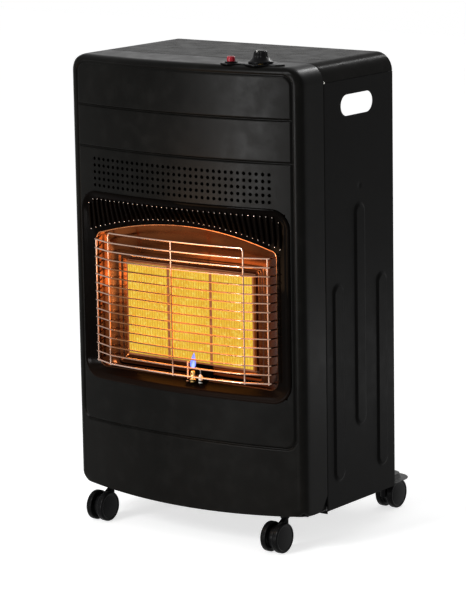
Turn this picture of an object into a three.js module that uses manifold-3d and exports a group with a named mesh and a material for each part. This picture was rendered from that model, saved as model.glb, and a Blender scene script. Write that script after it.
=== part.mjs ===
// Portable gas cabinet heater: a radiant burner with three ceramic plaques behind a wire guard,
// in a bowed sheet-steel front, on a folded cabinet with an open back that holds the gas bottle.
// Millimetres. X to the right, Y to the back, Z up from the floor. Y = 0 is the seam between the
// front cowl and the cabinet behind it. The finished group is moved so that its origin is the
// middle of its footprint.
import * as THREE from 'three';
import { mergeVertices } from 'three/addons/utils/BufferGeometryUtils.js';
import Module from 'manifold-3d';

const wasm = await Module();
wasm.setup();

// ---------------------------------------------------------------- driving dimensions

// Casing
const width = 420;
const topHeight = 711;
const cabinetDepth = 180;
const panelBottom = 53;
const shoulderRadius = 27;        // long top edges of the cowl and the cabinet
const sheet = 1.2;                // steel sheet of every folded piece
const gap = 0.3;                  // between pieces that touch
const slideGap = 0.4;             // round anything that moves

// Front cowl
const cowlSideDepth = 58;         // seam to the face, at the sides of the face
const cowlBow = 23;               // how far the middle of the face stands ahead of its sides
const cowlCornerRadius = 12;      // upright front corners
const cowlBrowRadius = 12;        // front top edge
const cowlHem = 56;               // floor to the bottom edge, at the sides
const cowlHemDrop = 7;            // how far the bottom edge dips in the middle
const heelCutDepth = 33;          // slanted cut at the lower back corner of the side walls
const heelCutRise = 21;
const toeCut = 5;                 // blunted lower front corners
const toeTilt = -0.9;

// Pressed lines on the face
const lineRadius = 2.6;
const lineDepth = 2.2;
const faceMargin = 14.5;          // side of the cowl to the upright lines
const faceTopMargin = 11;         // top of the cowl to the highest line
const faceCornerRadius = 16;
const lowLineHeight = 156;
const highLineDrop = 75;          // below the flat top
const middleLineRise = 17;        // above the highest row of vent holes

// Vent holes
const ventMargin = 45;            // side of the cowl to the outermost vent holes, or a little more
const ventRows = 5;
const ventPitch = 10;
const ventRadius = 2.6;
const ventRise = 9;               // top of the window surround to the centre of the lowest row
const ventSides = 4;

// Window surround
const surroundMargin = 19;        // side of the cowl to the side of the surround
const windowBottom = 222;
const windowHeight = 286;
const surroundRadius = 30;
const surroundLap = 7.5;          // flange of the surround that covers the edge of the cowl's cut-out
const surroundSide = 26;          // outer edge to the inner edge, at the sides
const surroundSill = 18;          // the same at the bottom
const surroundHead = 41;          // the same at the top, in the middle
const archDrop = 25;              // how far the arch falls from its middle to its ends
const sillRadius = 14;
const archCornerRadius = 10;
const surroundWall = 1.5;
const lipDepth = 58;              // seam to the inner edge
const beadRise = 2;               // raised bead along the outer edge

// Upright fins on the sloping head of the surround
const finMargin = 11.5;           // side of the surround to the outermost fins, or a little more
const finPitch = 9.4;
const finThickness = 4.4;
const finStand = 3.2;
const finTopInset = 11;           // outer edge of the surround to the top of the fins
const finFootInset = 9;           // arch to the foot of the fins

// Wire guard
const wireRadius = 1.2;
const wireSides = 4;
const wireCount = 15;
const wirePitch = 13.13;
const guardRise = 30.2;           // bottom of the surround to the lowest wire
const guardFront = 95;            // seam to the middle of the guard
const guardBow = 9;               // how far the guard falls back at its inner uprights
const innerUprightInset = 67;     // side of the surround to the guard's inner uprights
const outerUprightInset = 33.5;   // the same to its outer uprights
const outerUprightDepth = 70.5;   // seam to the outer uprights
const guardHoopRise = 14;         // highest full wire to the top of the hoop
const guardHoopRadius = 9;
const wireWeld = 0.8;             // how far crossing wires sink into each other

// Burner
const plaqueCount = 3;
const plaqueWidth = 72.6;
const plaqueHeight = 137;
const plaqueThickness = 13;
const plaqueFront = 50.5;         // seam to the front of the plaques
const plaqueRise = 42;            // bottom of the surround to the plaques
const burnerWall = 2.2;
const burnerDepth = 30;
const burnerRimSetback = 1.5;     // the burner's rim stands behind the face of its plaque
const burnerSpacing = 0.5;
const burnerFloorWall = 2;
const mixerRadius = 8;            // mixing tube on the back of each burner
const mixerWall = 1.4;
const mixerTop = 70;              // bottom of the plaque to the closed top of the mixing tube
const mixerDrop = 24;             // bottom of the plaque to the bell mouth
const mixerBellRadius = 9.4;

// Reflector and burner frame
const reflectorMargin = 2.2;      // between the burners and the reflector
const reflectorFlat = 21;         // flat border beside the burners
const reflectorTopFlat = 24;
const reflectorBottomFlat = 9;
const reflectorDepth = 46;        // seam to the flat border
const reflectorOverlap = 3;       // how far its flared edge reaches past the window's edge
const reflectorFlange = 6;
const notchMargin = 2;            // round the pilot's shelf, where the reflector is cut away
const frameBorder = 4.6;
const frameFoot = 12;
const frameArmInset = 20;         // ends of the burners to the ends of the arms

// Partition and hot air deflector
const partitionFront = 1.8;
const partitionVentCount = 9;
const partitionVentWidth = 9;
const partitionVentHeight = 60;
const partitionVentPitch = 34;
const partitionVentBottom = 110;
const deflectorReach = 54;
const deflectorRise = 14;         // highest vent hole to the deflector's front edge
const deflectorSlope = 16;
const deflectorLip = 7;
const deflectorFoot = 18;

// Side panels
const panelFlange = 11.5;
const slotLength = 83;
const slotHeight = 31;
const slotCentreDepth = 85;       // seam to the middle of the hand slot
const slotDrop = 65;              // flat top to the middle of the hand slot
const ribWidth = 28;
const ribStand = 2.5;
const ribFlank = 4;
const ribDepths = [32, 89, 146];  // seam to the middle of each pressed rib
const ribBottoms = [92, 166, 92];
const ribTops = [388, 500, 388];
const joggleHeight = 6;
const topFlangeHeight = 19;       // folded edge at the back of the top cover

// Base
const baseTop = 56;
const baseBackReach = 57;         // back edge of the side panels to the back edge of the base
const baseFrontReach = 57;        // seam to the front edge of the base
const baseCornerRadius = 27;
const trayRise = 8;               // pressed tray above the rim of the base
const trayMargin = 6.5;
const trayBackMargin = 12;
const trayFlank = 4;
const gussetDepth = 42;
const gussetHeight = 22;
const channelDepth = 30;
const channelDrop = 6;

// Controls
const knobInset = 79;             // right-hand side of the cowl to the knob's axis
const knobDepth = 42;             // seam to the knob's axis
const knobSkirtRadius = 19.5;
const knobGripRadius = 11.5;
const knobHeight = 18;
const knobSkirtHeight = 2.2;
const knobConeHeight = 7.5;
const knobFlutes = 6;
const knobTravel = 4;
const knobLift = 2.6;             // flat top to the underside of the knob
const spindleRadius = 4;
const knobRingWidth = 4.5;        // of the control plate round the knob
const buttonSpacing = 43;         // knob's axis to the button's
const buttonDepth = 55;
const buttonRadius = 6;
const buttonTravel = 6;
const buttonProud = 11;           // flat top to the top of the button
const igniterRadius = 8;
const igniterLength = 48;
const igniterCollarRadius = 9.5;
const igniterCollarHeight = 1.5;
const plateThickness = 1.8;
const plateLobeRadius = 15.5;
const plateTailReach = 40;        // knob's axis to the right-hand end of the control plate
const plateTailRadius = 10;
const controlBracketDrop = 10.5;
const valveShelfMargin = 4;
const valveShelfFold = 14;
const valveWidth = 34;
const valveDepth = 34;
const valveHeight = 44;
const valveNeckRadius = 8;
const inletLength = 50;
const inletRadius = 5;
const inletDrop = 24;             // top of the valve to the inlet's axis

// Gas pipes
const pipeRadius = 2.5;
const pipeSides = 5;
const pipePitch = 7.5;
const firstPipeX = 131;           // long run nearest the burners
const pipeDepth = 12;             // seam to the pipes' long runs
const pipeBend = 8;
const pipeTail = 20;              // straight length under the valve
const pipeSlant = 30;             // height over which the pipes move back and aside
const pipeSpacing = 7.5;
const pilotPipeRadius = 1.6;
const railHeight = 7;
const railDepth = 14;
const railRadiusOfJet = 3;
const jetHeight = 5;
const jetClearance = 2;           // tip of a jet to the bell mouth it blows into

// Pilot
const pilotX = 17;
const pilotDepth = 66;
const pilotHeight = 17;
const pilotRadius = 3.6;
const pilotFootWidth = 1.5;
const pilotFeedHeight = 3.2;      // pilot's shelf to the end of its pipe
const pilotFeedDepth = 50;        // seam to the pipe's rise through the shelf
const pilotPipeBend = 4;
const pilotShelfRise = 15;        // bottom of the surround to the pilot's shelf
const pilotShelfLeft = 3;
const pilotShelfWidth = 36;
const pilotShelfDepth = 13;
const thermocoupleOffset = 9;
const thermocoupleRadius = 1.8;
const thermocoupleHeight = 30;
const electrodeOffset = 14;
const electrodeRadius = 3.2;
const electrodeHeight = 13;
const electrodeTipReach = 8;

// Castors
const wheelRadius = 22.5;
const wheelWidth = 10;
const wheelGap = 11;              // between the two wheels of a castor
const wheelSides = 12;
const castorTrail = 21;
const castorInset = 47;           // side of the cabinet to the castor's stem
const frontCastorDepth = 42;      // seam to the front stems
const backCastorInset = 18.5;       // back edge of the base to the back stems
const axleRadius = 2.5;
const hubcapWall = 1.1;
const stemRadius = 3;
const stemFlangeRadius = 9;
const stemFlangeHeight = 1.8;
const stemStud = 1.5;             // above the base
const neckRadius = 6.8;
const neckHeight = 5;
const sleeveRadius = 5.1;
const webRadius = 17;
const webThickness = 8;

// ---------------------------------------------------------------- worked out from them

const halfWidth = width / 2;
const faceWidth = halfWidth - cowlCornerRadius;
const surroundHalf = halfWidth - surroundMargin;
const windowTop = windowBottom + windowHeight;
const openingHalf = surroundHalf - surroundSide;
const openingBottom = windowBottom + surroundSill;
const openingTop = windowTop - surroundHead;
const lowestVent = windowTop + ventRise;
const highestVent = lowestVent + (ventRows - 1) * ventPitch;
const ventColumns = 1 + 2 * Math.floor((halfWidth - ventMargin) / ventPitch);
const finCount = 2 * Math.floor((surroundHalf - finMargin) / finPitch);
const knobX = halfWidth - knobInset;
const buttonX = knobX - buttonSpacing;
const panelInside = halfWidth - sheet;
const plaqueBottom = windowBottom + plaqueRise;
const burnerWidth = plaqueWidth + 2 * (gap + burnerWall);
const burnerPitch = burnerWidth + burnerSpacing;
const burnersHalf = (plaqueCount * burnerPitch - burnerSpacing) / 2;
const burnerBottom = plaqueBottom - gap - burnerWall;
const burnerTop = plaqueBottom + plaqueHeight + gap + burnerWall;
const burnerFront = plaqueFront - burnerRimSetback;
const burnerBack = burnerFront - burnerDepth;
const baseBack = cabinetDepth + baseBackReach;
const trayTop = baseTop + trayRise;
const guardBottom = windowBottom + guardRise;
const guardTop = guardBottom + (wireCount - 1) * wirePitch;
const coverEdge = topHeight - shoulderRadius;

// ---------------------------------------------------------------- finishes

const finish = (color, roughness, metalness) =>
  new THREE.MeshStandardMaterial({ color, roughness, metalness });
const charcoalPaint = finish(0x252525, 0.55, 0.3);
const blackPaint = finish(0x161616, 0.45, 0.3);
const greyPaint = finish(0x303030, 0.5, 0.3);
const glossBlack = finish(0x090909, 0.18, 0.1);
const blackPlastic = finish(0x0c0c0c, 0.4, 0);
const chrome = finish(0xd8d4cc, 0.2, 1);
const polishedSteel = finish(0x9a958c, 0.15, 1);
const plainSteel = finish(0x8c8c88, 0.4, 0.9);
const zinc = finish(0xb9bbb8, 0.35, 0.9);
const aluminium = finish(0xa9abac, 0.45, 0.9);
const brass = finish(0xb8963f, 0.3, 1);
const copper = finish(0xb46a3c, 0.35, 1);
const redPlastic = finish(0xb31230, 0.3, 0);
const porcelain = finish(0xe9e4da, 0.35, 0);
const glowingCeramic = new THREE.MeshStandardMaterial({
  color: 0xf0a040, roughness: 0.9, metalness: 0, emissive: 0xff8a20, emissiveIntensity: 0.8,
});

// ---------------------------------------------------------------- solids

const leastSliver = 0.005;
const vector = (x, y, z) => new THREE.Vector3(x, y, z);
const point = (x, y) => new THREE.Vector2(x, y);
const range = (count) => [...Array(count).keys()];

// A closed geometry as a solid with its faces pointing out.
function solidOf(geometry) {
  const bare = geometry.clone();
  bare.deleteAttribute('normal');
  bare.deleteAttribute('uv');
  const merged = mergeVertices(bare, 1e-4);
  const vertProperties = merged.attributes.position.array;
  const corner = (index) => vector().fromArray(vertProperties, 3 * index);
  const triangles = [];
  let volume = 0;
  for (let i = 0; i < merged.index.count; i += 3) {
    const [a, b, c] = merged.index.array.slice(i, i + 3);
    if (a !== b && b !== c && c !== a) {
      triangles.push([a, b, c]);
      volume += corner(a).dot(corner(b).cross(corner(c)));
    }
  }
  const ordered = volume < 0 ? triangles.map(([a, b, c]) => [a, c, b]) : triangles;
  const triVerts = Uint32Array.from(ordered.flat());
  return new wasm.Manifold(new wasm.Mesh({ numProp: 3, vertProperties, triVerts }));
}

// A solid's surface as a geometry, without the slivers that joins and cuts leave.
function geometryOf(solid) {
  const mesh = solid.simplify(leastSliver).getMesh();
  const geometry = new THREE.BufferGeometry();
  geometry.setAttribute('position', new THREE.BufferAttribute(mesh.vertProperties, 3));
  geometry.setIndex(new THREE.BufferAttribute(mesh.triVerts, 1));
  geometry.computeVertexNormals();
  return geometry;
}

const join = (...solids) => wasm.Manifold.union(solids);
const cut = (body, ...tools) => wasm.Manifold.difference([body, ...tools]);

// Extrusions of a shape: drawn in XY and raised, drawn in XZ and run back, drawn in YZ and run across.
function raised(shape, low, high, curveSegments = 6) {
  const options = { depth: high - low, bevelEnabled: false, curveSegments };
  return solidOf(new THREE.ExtrudeGeometry(shape, options).translate(0, 0, low));
}

function runBack(shape, front, back, curveSegments = 6) {
  const options = { depth: back - front, bevelEnabled: false, curveSegments };
  const geometry = new THREE.ExtrudeGeometry(shape, options);
  return solidOf(geometry.rotateX(Math.PI / 2).translate(0, back, 0));
}

function runAcross(shape, left, right, curveSegments = 6) {
  const options = { depth: right - left, bevelEnabled: false, curveSegments };
  const turn = new THREE.Matrix4().makeBasis(vector(0, 1, 0), vector(0, 0, 1), vector(1, 0, 0));
  const geometry = new THREE.ExtrudeGeometry(shape, options).applyMatrix4(turn);
  return solidOf(geometry.translate(left, 0, 0));
}

function box(left, right, front, back, low, high) {
  const geometry = new THREE.BoxGeometry(right - left, back - front, high - low);
  return solidOf(geometry.translate((left + right) / 2, (front + back) / 2, (low + high) / 2));
}

// A turned solid about Z from [radius, height] pairs that start and end on the axis.
function turned(profile, sides = 16, start = 0) {
  const points = profile.map(([radius, height]) => point(radius, height));
  return solidOf(new THREE.LatheGeometry(points, sides, start).rotateX(Math.PI / 2));
}

function rod(radius, low, high, sides = 12, start = 0) {
  return turned([[0, low], [radius, low], [radius, high], [0, high]], sides, start);
}

const alongX = (solid) => solid.rotate([0, 90, 0]);
const alongY = (solid) => solid.rotate([-90, 0, 0]);

// ---------------------------------------------------------------- outlines

function outline(points) {
  return new THREE.Shape(points.map(([x, y]) => point(x, y)));
}

function roundedRectangle(left, right, low, high, lowRadius, highRadius = lowRadius) {
  const shape = new THREE.Shape();
  shape.moveTo(left + lowRadius, low);
  shape.lineTo(right - lowRadius, low);
  if (lowRadius > 0) shape.absarc(right - lowRadius, low + lowRadius, lowRadius, -Math.PI / 2, 0);
  shape.lineTo(right, high - highRadius);
  if (highRadius > 0) shape.absarc(right - highRadius, high - highRadius, highRadius, 0, Math.PI / 2);
  shape.lineTo(left + highRadius, high);
  if (highRadius > 0) {
    shape.absarc(left + highRadius, high - highRadius, highRadius, Math.PI / 2, Math.PI);
  }
  shape.lineTo(left, low + lowRadius);
  if (lowRadius > 0) shape.absarc(left + lowRadius, low + lowRadius, lowRadius, Math.PI, 1.5 * Math.PI);
  return shape;
}

// A slot with round ends whose length lies along the first axis of its shape.
function obround(x, y, length, height) {
  const radius = Math.min(height, length) / 2;
  const reach = length / 2 - radius;
  const shape = new THREE.Shape();
  shape.absarc(x + reach, y, radius, -Math.PI / 2, Math.PI / 2);
  shape.absarc(x - reach, y, radius, Math.PI / 2, 1.5 * Math.PI);
  return shape;
}

function disc(x, y, radius) {
  return new THREE.Shape().absarc(x, y, radius, 0, 2 * Math.PI);
}

// A strip of sheet that follows a bent line, with its thickness on the line's left.
function foldedStrip(line, thickness = sheet) {
  const points = line.map(([x, y]) => point(x, y));
  const normals = points.slice(1).map((next, i) => {
    const along = next.clone().sub(points[i]).normalize();
    return point(-along.y, along.x);
  });
  const inner = points.map((corner, i) => {
    const before = normals[Math.max(i - 1, 0)];
    const after = normals[Math.min(i, normals.length - 1)];
    const middle = before.clone().add(after).normalize();
    return corner.clone().addScaledVector(middle, thickness / middle.dot(before));
  });
  return new THREE.Shape([...points, ...inner.reverse()]);
}

function arcPoints(x, y, radius, from, to, steps) {
  return range(steps + 1).map((i) => {
    const angle = THREE.MathUtils.degToRad(from + ((to - from) * i) / steps);
    return [x + radius * Math.cos(angle), y + radius * Math.sin(angle)];
  });
}

// The corner points of a rounded rectangle, equally many for every size.
function roundedRing(left, right, low, high, radius, steps) {
  return [
    ...arcPoints(right - radius, low + radius, radius, -90, 0, steps),
    ...arcPoints(right - radius, high - radius, radius, 0, 90, steps),
    ...arcPoints(left + radius, high - radius, radius, 90, 180, steps),
    ...arcPoints(left + radius, low + radius, radius, 180, 270, steps),
  ];
}

// ---------------------------------------------------------------- lofts and tubes

function meshOf(points, triangles) {
  const geometry = new THREE.BufferGeometry();
  const positions = points.flatMap((p) => [p.x, p.y, p.z]);
  geometry.setAttribute('position', new THREE.Float32BufferAttribute(positions, 3));
  geometry.setIndex(triangles.flat());
  return geometry;
}

function bandTriangles(first, second, count) {
  return range(count).flatMap((i) => {
    const next = (i + 1) % count;
    return [
      [first + i, first + next, second + next],
      [first + i, second + next, second + i],
    ];
  });
}

// A solid through rings of equally many points, with flat ends. The ends are triangulated in the
// plane that flatten maps them to.
function loft(rings, flatten) {
  const count = rings[0].length;
  const last = (rings.length - 1) * count;
  const bands = rings.slice(1).flatMap((_, i) => bandTriangles(i * count, (i + 1) * count, count));
  const lid = (ring) => THREE.ShapeUtils.triangulateShape(ring.map(flatten), []);
  const front = lid(rings[0]).map(([a, b, c]) => [c, b, a]);
  const back = lid(rings[rings.length - 1]).map((face) => face.map((i) => last + i));
  return solidOf(meshOf(rings.flat(), alignLids(bands, front, back)));
}

// Lids take the winding that their shared edge with the first band asks for.
function alignLids(bands, front, back) {
  const edges = new Set(bands.map(([a, b, c]) => [`${a},${b}`, `${b},${c}`, `${c},${a}`]).flat());
  const aligned = (lid) => {
    const clash = lid.some(([a, b, c]) => [[a, b], [b, c], [c, a]].some((e) => edges.has(`${e}`)));
    return clash ? lid.map(([a, b, c]) => [a, c, b]) : lid;
  };
  return [...bands, ...aligned(front), ...aligned(back)];
}

// A ring-shaped solid: loops of equally many points, the last joined to the first.
function closedLoft(loops) {
  const count = loops[0].length;
  const bands = loops.flatMap((_, i) => {
    const next = (i + 1) % loops.length;
    return bandTriangles(i * count, next * count, count);
  });
  return solidOf(meshOf(loops.flat(), bands));
}

// A path that passes straight from one chosen point to the next.
class BentPath extends THREE.Curve {
  constructor(points) {
    super();
    this.points = points;
  }

  getPoint(t, target = new THREE.Vector3()) {
    const place = t * (this.points.length - 1);
    const index = Math.min(Math.floor(place), this.points.length - 2);
    return target.lerpVectors(this.points[index], this.points[index + 1], place - index);
  }

  getPointAt(u, target) {
    return this.getPoint(u, target);
  }

  getTangentAt(u) {
    const index = Math.round(u * (this.points.length - 1));
    const here = this.points[index];
    const before = this.points[Math.max(index - 1, 0)];
    const after = this.points[Math.min(index + 1, this.points.length - 1)];
    const arriving = here.clone().sub(before).normalize();
    const leaving = after.clone().sub(here).normalize();
    return arriving.add(leaving).normalize();
  }
}

function tube(points, radius, sides, turn = 0) {
  const section = new THREE.Shape(range(sides).map((i) => {
    const angle = turn + (2 * Math.PI * i) / sides;
    return point(radius * Math.cos(angle), radius * Math.sin(angle));
  }));
  const options = { steps: points.length - 1, bevelEnabled: false, extrudePath: new BentPath(points) };
  return solidOf(new THREE.ExtrudeGeometry(section, options));
}

// The corners of a bent line replaced by short arcs.
function rounded(corners, radius, steps = 2) {
  return corners.flatMap((corner, i) => {
    if (i === 0 || i === corners.length - 1) return [corner];
    const start = corners[i - 1].clone().sub(corner).setLength(radius).add(corner);
    const end = corners[i + 1].clone().sub(corner).setLength(radius).add(corner);
    return new THREE.QuadraticBezierCurve3(start, corner, end).getPoints(steps);
  });
}

// ---------------------------------------------------------------- the model

const heater = new THREE.Group();

function addPart(name, solid, material, parent = heater) {
  const mesh = new THREE.Mesh(geometryOf(solid), material);
  mesh.name = name;
  parent.add(mesh);
  return mesh;
}

// Front of the cowl's face at a distance from its middle.
const bowAt = (x) => -cowlSideDepth - cowlBow * (1 - (x / faceWidth) ** 2);

// Places across the face where its facets meet, none of them on a vent hole.
function facePlaces(reach) {
  const field = (ventColumns * ventPitch) / 2;
  const facet = 5 * ventPitch;
  const inner = range(ventColumns).map((i) => (i + 0.5) * facet).filter((x) => x < field - ventPitch);
  const half = [...inner, field, reach];
  return [...half.map((x) => -x).reverse(), ...half];
}

function evenPlaces(reach) {
  const steps = 9;
  return range(steps + 1).map((i) => reach * ((2 * i) / steps - 1));
}

// A closed front-view loop: flat sill, upright sides and a head whose height follows headAt.
function windowLoop(half, low, headAt, lowRadius, headRadius, depthAt, places = evenPlaces) {
  const cornerSteps = 3;
  const sill = places(half - lowRadius).map((x) => [x, low]);
  const headReach = half - headRadius;
  const head = places(headReach).map((x) => [-x, headAt(x)]);
  const headCentre = headAt(headReach) - headRadius;
  const lowCentre = low + lowRadius;
  const loop = [
    ...sill,
    ...arcPoints(half - lowRadius, lowCentre, lowRadius, -90, 0, cornerSteps).slice(1),
    ...arcPoints(headReach, headCentre, headRadius, 0, 90, cornerSteps).slice(0, -1),
    ...head,
    ...arcPoints(-headReach, headCentre, headRadius, 90, 180, cornerSteps).slice(1),
    ...arcPoints(-half + lowRadius, lowCentre, lowRadius, 180, 270, cornerSteps).slice(0, -1),
  ];
  return loop.map(([x, z]) => vector(x, depthAt(x), z));
}

// ---------------------------------------------------------------- front cowl

// The cowl's plan at one height: round the side, the corner and the bowed face, back to the seam.
function cowlPlan(height, inset, back) {
  const side = shoulderInset(height, shoulderRadius, inset);
  const brow = shoulderInset(height, cowlBrowRadius, inset);
  const cornerRadius = cowlCornerRadius - inset;
  const reach = halfWidth - side - cornerRadius;
  const face = facePlaces(reach).reverse().map((x) => [x, bowAt(x) + brow]);
  const cornerY = face[0][1] + cornerRadius;
  const right = arcPoints(reach, cornerY, cornerRadius, 0, -60, 2);
  const left = arcPoints(-reach, cornerY, cornerRadius, -120, -180, 2);
  const plan = [[reach + cornerRadius, back], ...right, ...face, ...left, [-reach - cornerRadius, back]];
  return plan.map(([x, y]) => vector(x, y, height));
}

// How far a wall rounded into the flat top has moved in at a height.
function shoulderInset(height, radius, inset) {
  const inner = radius - inset;
  const centre = topHeight - radius;
  const climb = THREE.MathUtils.clamp(height - centre, 0, inner);
  return inset + inner - Math.sqrt(inner ** 2 - climb ** 2);
}

function cowlShape(inset, low, back) {
  const angles = [0, 20, 37, 54, 72, 90];
  const inner = shoulderRadius - inset;
  const heights = angles.map((angle) => {
    return topHeight - shoulderRadius + inner * Math.sin(THREE.MathUtils.degToRad(angle));
  });
  const rings = [low, ...heights].map((height) => cowlPlan(height, inset, back));
  return loft(rings, (p) => point(p.x, p.y));
}

// Pressed lines: a frame round the face and two lines across it, each a V-shaped dent.
function pressedLines(setback) {
  const faceHalf = halfWidth - faceMargin;
  const faceTop = topHeight - faceTopMargin;
  const ahead = lineRadius - lineDepth - setback;
  const loop = (outward, forward) => windowLoop(
    faceHalf + outward, lowLineHeight - outward, () => faceTop + outward,
    faceCornerRadius + outward, faceCornerRadius + outward, (x) => bowAt(x) - forward, facePlaces,
  );
  const frame = closedLoft([
    loop(lineRadius, ahead), loop(0, ahead + lineRadius), loop(-lineRadius, ahead), loop(0, ahead - lineRadius),
  ]);
  const across = (z) => {
    const path = facePlaces(faceHalf).map((x) => vector(x, bowAt(x) - ahead, z));
    return tube(path, lineRadius, 4);
  };
  return [frame, across(highestVent + middleLineRise), across(topHeight - highLineDrop)];
}

function ventHoles() {
  const middle = (ventColumns - 1) / 2;
  const holes = range(ventRows).flatMap((row) => range(ventColumns).map((column) => {
    const x = (column - middle) * ventPitch;
    const hole = rod(ventRadius, 0, cowlSideDepth + cowlBow, ventSides, Math.PI / ventSides);
    return alongY(hole).translate([x, -cowlSideDepth - cowlBow - lineRadius, lowestVent + row * ventPitch]);
  }));
  return wasm.Manifold.compose(holes);
}

function frontCowl() {
  const below = cowlHem - cowlHemDrop - 1;
  const skin = cut(cowlShape(0, below, 0), ...pressedLines(0));
  const hollow = cut(cowlShape(sheet, below - 1, 1), ...pressedLines(sheet));
  const cutOutMargin = surroundLap - gap;
  const cutOut = runBack(roundedRectangle(
    -surroundHalf + cutOutMargin, surroundHalf - cutOutMargin,
    windowBottom + cutOutMargin, windowTop - cutOutMargin, surroundRadius - cutOutMargin,
  ), -cowlSideDepth - cowlBow - 5, -cowlSideDepth + 8, 4);
  const hem = runBack(hemOutline(), -cowlSideDepth - cowlBow - 5, 5);
  const heel = runAcross(outline([
    [-heelCutDepth, cowlHem - 20], [-heelCutDepth, cowlHem + gap], [5, cowlHem + heelCutRise + 3],
    [5, cowlHem - 20],
  ]), -width, width);
  const holeLow = topHeight - shoulderRadius;
  const knobHole = rod(knobSkirtRadius + slideGap + 1, 0, width, 16).translate([knobX, -knobDepth, holeLow]);
  const buttonHole = rod(igniterRadius + gap, 0, width, 12).translate([buttonX, -buttonDepth, holeLow]);
  const toes = [-1, 1].map((side) => toe(side));
  return cut(skin, hollow, cutOut, ventHoles(), hem, heel, knobHole, buttonHole, ...toes);
}

// Everything below the cowl's dipped bottom edge.
function hemOutline() {
  const reach = halfWidth - cowlCornerRadius;
  const corner = cowlHem + gap;
  const edge = facePlaces(reach).reverse().map((x) => {
    return [x, corner - cowlHemDrop * (1 - (x / reach) ** 2)];
  });
  return outline([[-width, 0], [width, 0], [width, corner], ...edge, [-width, corner]]);
}

// The wedge cut off each lower front corner: a prism laid along the corner's slanting cut.
function toe(side) {
  const reach = 3 * toeCut;
  const wedge = new THREE.ExtrudeGeometry(
    outline([[-reach, 0], [reach, 0], [reach, -reach], [-reach, -reach]]),
    { depth: 2 * reach, bevelEnabled: false },
  );
  wedge.rotateX(Math.PI / 2).rotateX(toeTilt).rotateZ((side * Math.PI) / 4);
  return solidOf(wedge.translate(side * (halfWidth - toeCut), -cowlSideDepth, cowlHem + toeCut / 3));
}

addPart('front_cowl', frontCowl(), charcoalPaint);

// ---------------------------------------------------------------- window surround

const archAt = (x) => openingTop - archDrop * (x / openingHalf) ** 2;

function surroundLoop(inset, ahead) {
  const head = windowTop - inset;
  const radius = surroundRadius - inset;
  return windowLoop(
    surroundHalf - inset, windowBottom + inset, () => head, radius, radius, (x) => bowAt(x) - ahead,
  );
}

function openingLoop(outward, depth) {
  return windowLoop(
    openingHalf + outward, openingBottom - outward, (x) => archAt(x) + outward,
    sillRadius + outward, archCornerRadius + outward, () => -depth,
  );
}

// Top of the fins: level, and rounded off towards the corners of the surround.
function finTopAt(x) {
  const radius = surroundRadius - finTopInset;
  const past = Math.max(Math.abs(x) + finThickness / 2 - surroundHalf + surroundRadius, 0);
  return windowTop - surroundRadius + Math.sqrt(Math.max(radius ** 2 - past ** 2, 0));
}

function finOnHead(x) {
  const topZ = finTopAt(x);
  const footZ = archAt(x) + finFootInset;
  const headZ = windowTop - surroundLap;
  const slopeAt = (z) => {
    const share = (z - archAt(x)) / (headZ - archAt(x));
    return -lipDepth + share * (bowAt(x) + lipDepth);
  };
  const sunk = surroundWall / 2;
  const shape = outline([
    [slopeAt(topZ) + sunk, topZ + 2],
    [slopeAt(topZ) - finStand, topZ - 2],
    [slopeAt(footZ) - finStand, footZ + 2],
    [slopeAt(footZ) + sunk, footZ - 2],
  ]);
  return runAcross(shape, x - finThickness / 2, x + finThickness / 2);
}

function windowSurround() {
  const wallInset = surroundLap + gap;
  const ring = closedLoft([
    surroundLoop(0, gap),
    surroundLoop(0, gap + beadRise / 2),
    surroundLoop(beadRise, gap + beadRise),
    surroundLoop(2.5 * beadRise, gap + beadRise),
    surroundLoop(wallInset + surroundWall, gap + surroundWall / 2),
    openingLoop(0, lipDepth),
    openingLoop(0, lipDepth - surroundWall),
    surroundLoop(wallInset, -sheet),
    surroundLoop(wallInset, gap),
  ]);
  const middle = (finCount - 1) / 2;
  const fins = range(finCount).map((i) => finOnHead((i - middle) * finPitch));
  return join(ring, ...fins);
}

addPart('window_surround', windowSurround(), glossBlack);

// ---------------------------------------------------------------- reflector

const reflectorHalf = burnersHalf + reflectorMargin;
const reflectorLow = burnerBottom - reflectorMargin;
const reflectorHigh = burnerTop + reflectorMargin;
const flareDepth = lipDepth - surroundWall - gap;

function reflectorLoop(half, low, high, depth) {
  const corner = 3;
  return roundedRing(-half, half, low, high, corner, 2).map(([x, z]) => vector(x, -depth, z));
}

function reflector() {
  const flare = openingHalf + reflectorOverlap;
  const flareLow = openingBottom - reflectorOverlap;
  const flareHigh = openingTop + reflectorOverlap;
  const edge = reflectorFlange;
  const rings = [
    [reflectorHalf, reflectorLow, reflectorHigh, reflectorDepth],
    [reflectorHalf + reflectorFlat, reflectorLow - reflectorBottomFlat,
      reflectorHigh + reflectorTopFlat, reflectorDepth],
    [flare, flareLow, flareHigh, flareDepth],
    [flare + edge, flareLow - edge, flareHigh + edge, flareDepth],
  ];
  const front = rings.map((ring) => reflectorLoop(...ring));
  const back = rings.map(([half, low, high, depth]) => reflectorLoop(half, low, high, depth - sheet));
  const dish = closedLoft([...front, ...back.reverse()]);
  const notch = box(
    pilotShelfLeft - notchMargin, pilotShelfLeft + pilotShelfWidth + notchMargin, -lipDepth, -reflectorDepth + 5,
    flareLow, burnerBottom,
  );
  return cut(dish, notch);
}

addPart('reflector', reflector(), polishedSteel);

// ---------------------------------------------------------------- wire guard

const innerUpright = surroundHalf - innerUprightInset;
const outerUpright = surroundHalf - outerUprightInset;
const guardAt = (x) => -guardFront + guardBow * (x / innerUpright) ** 2;

// Front of the reflector's flared side wall at a distance from the middle.
function flareAt(x) {
  const from = reflectorHalf + reflectorFlat;
  const to = openingHalf + reflectorOverlap;
  return -reflectorDepth - ((flareDepth - reflectorDepth) * (x - from)) / (to - from);
}

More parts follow.
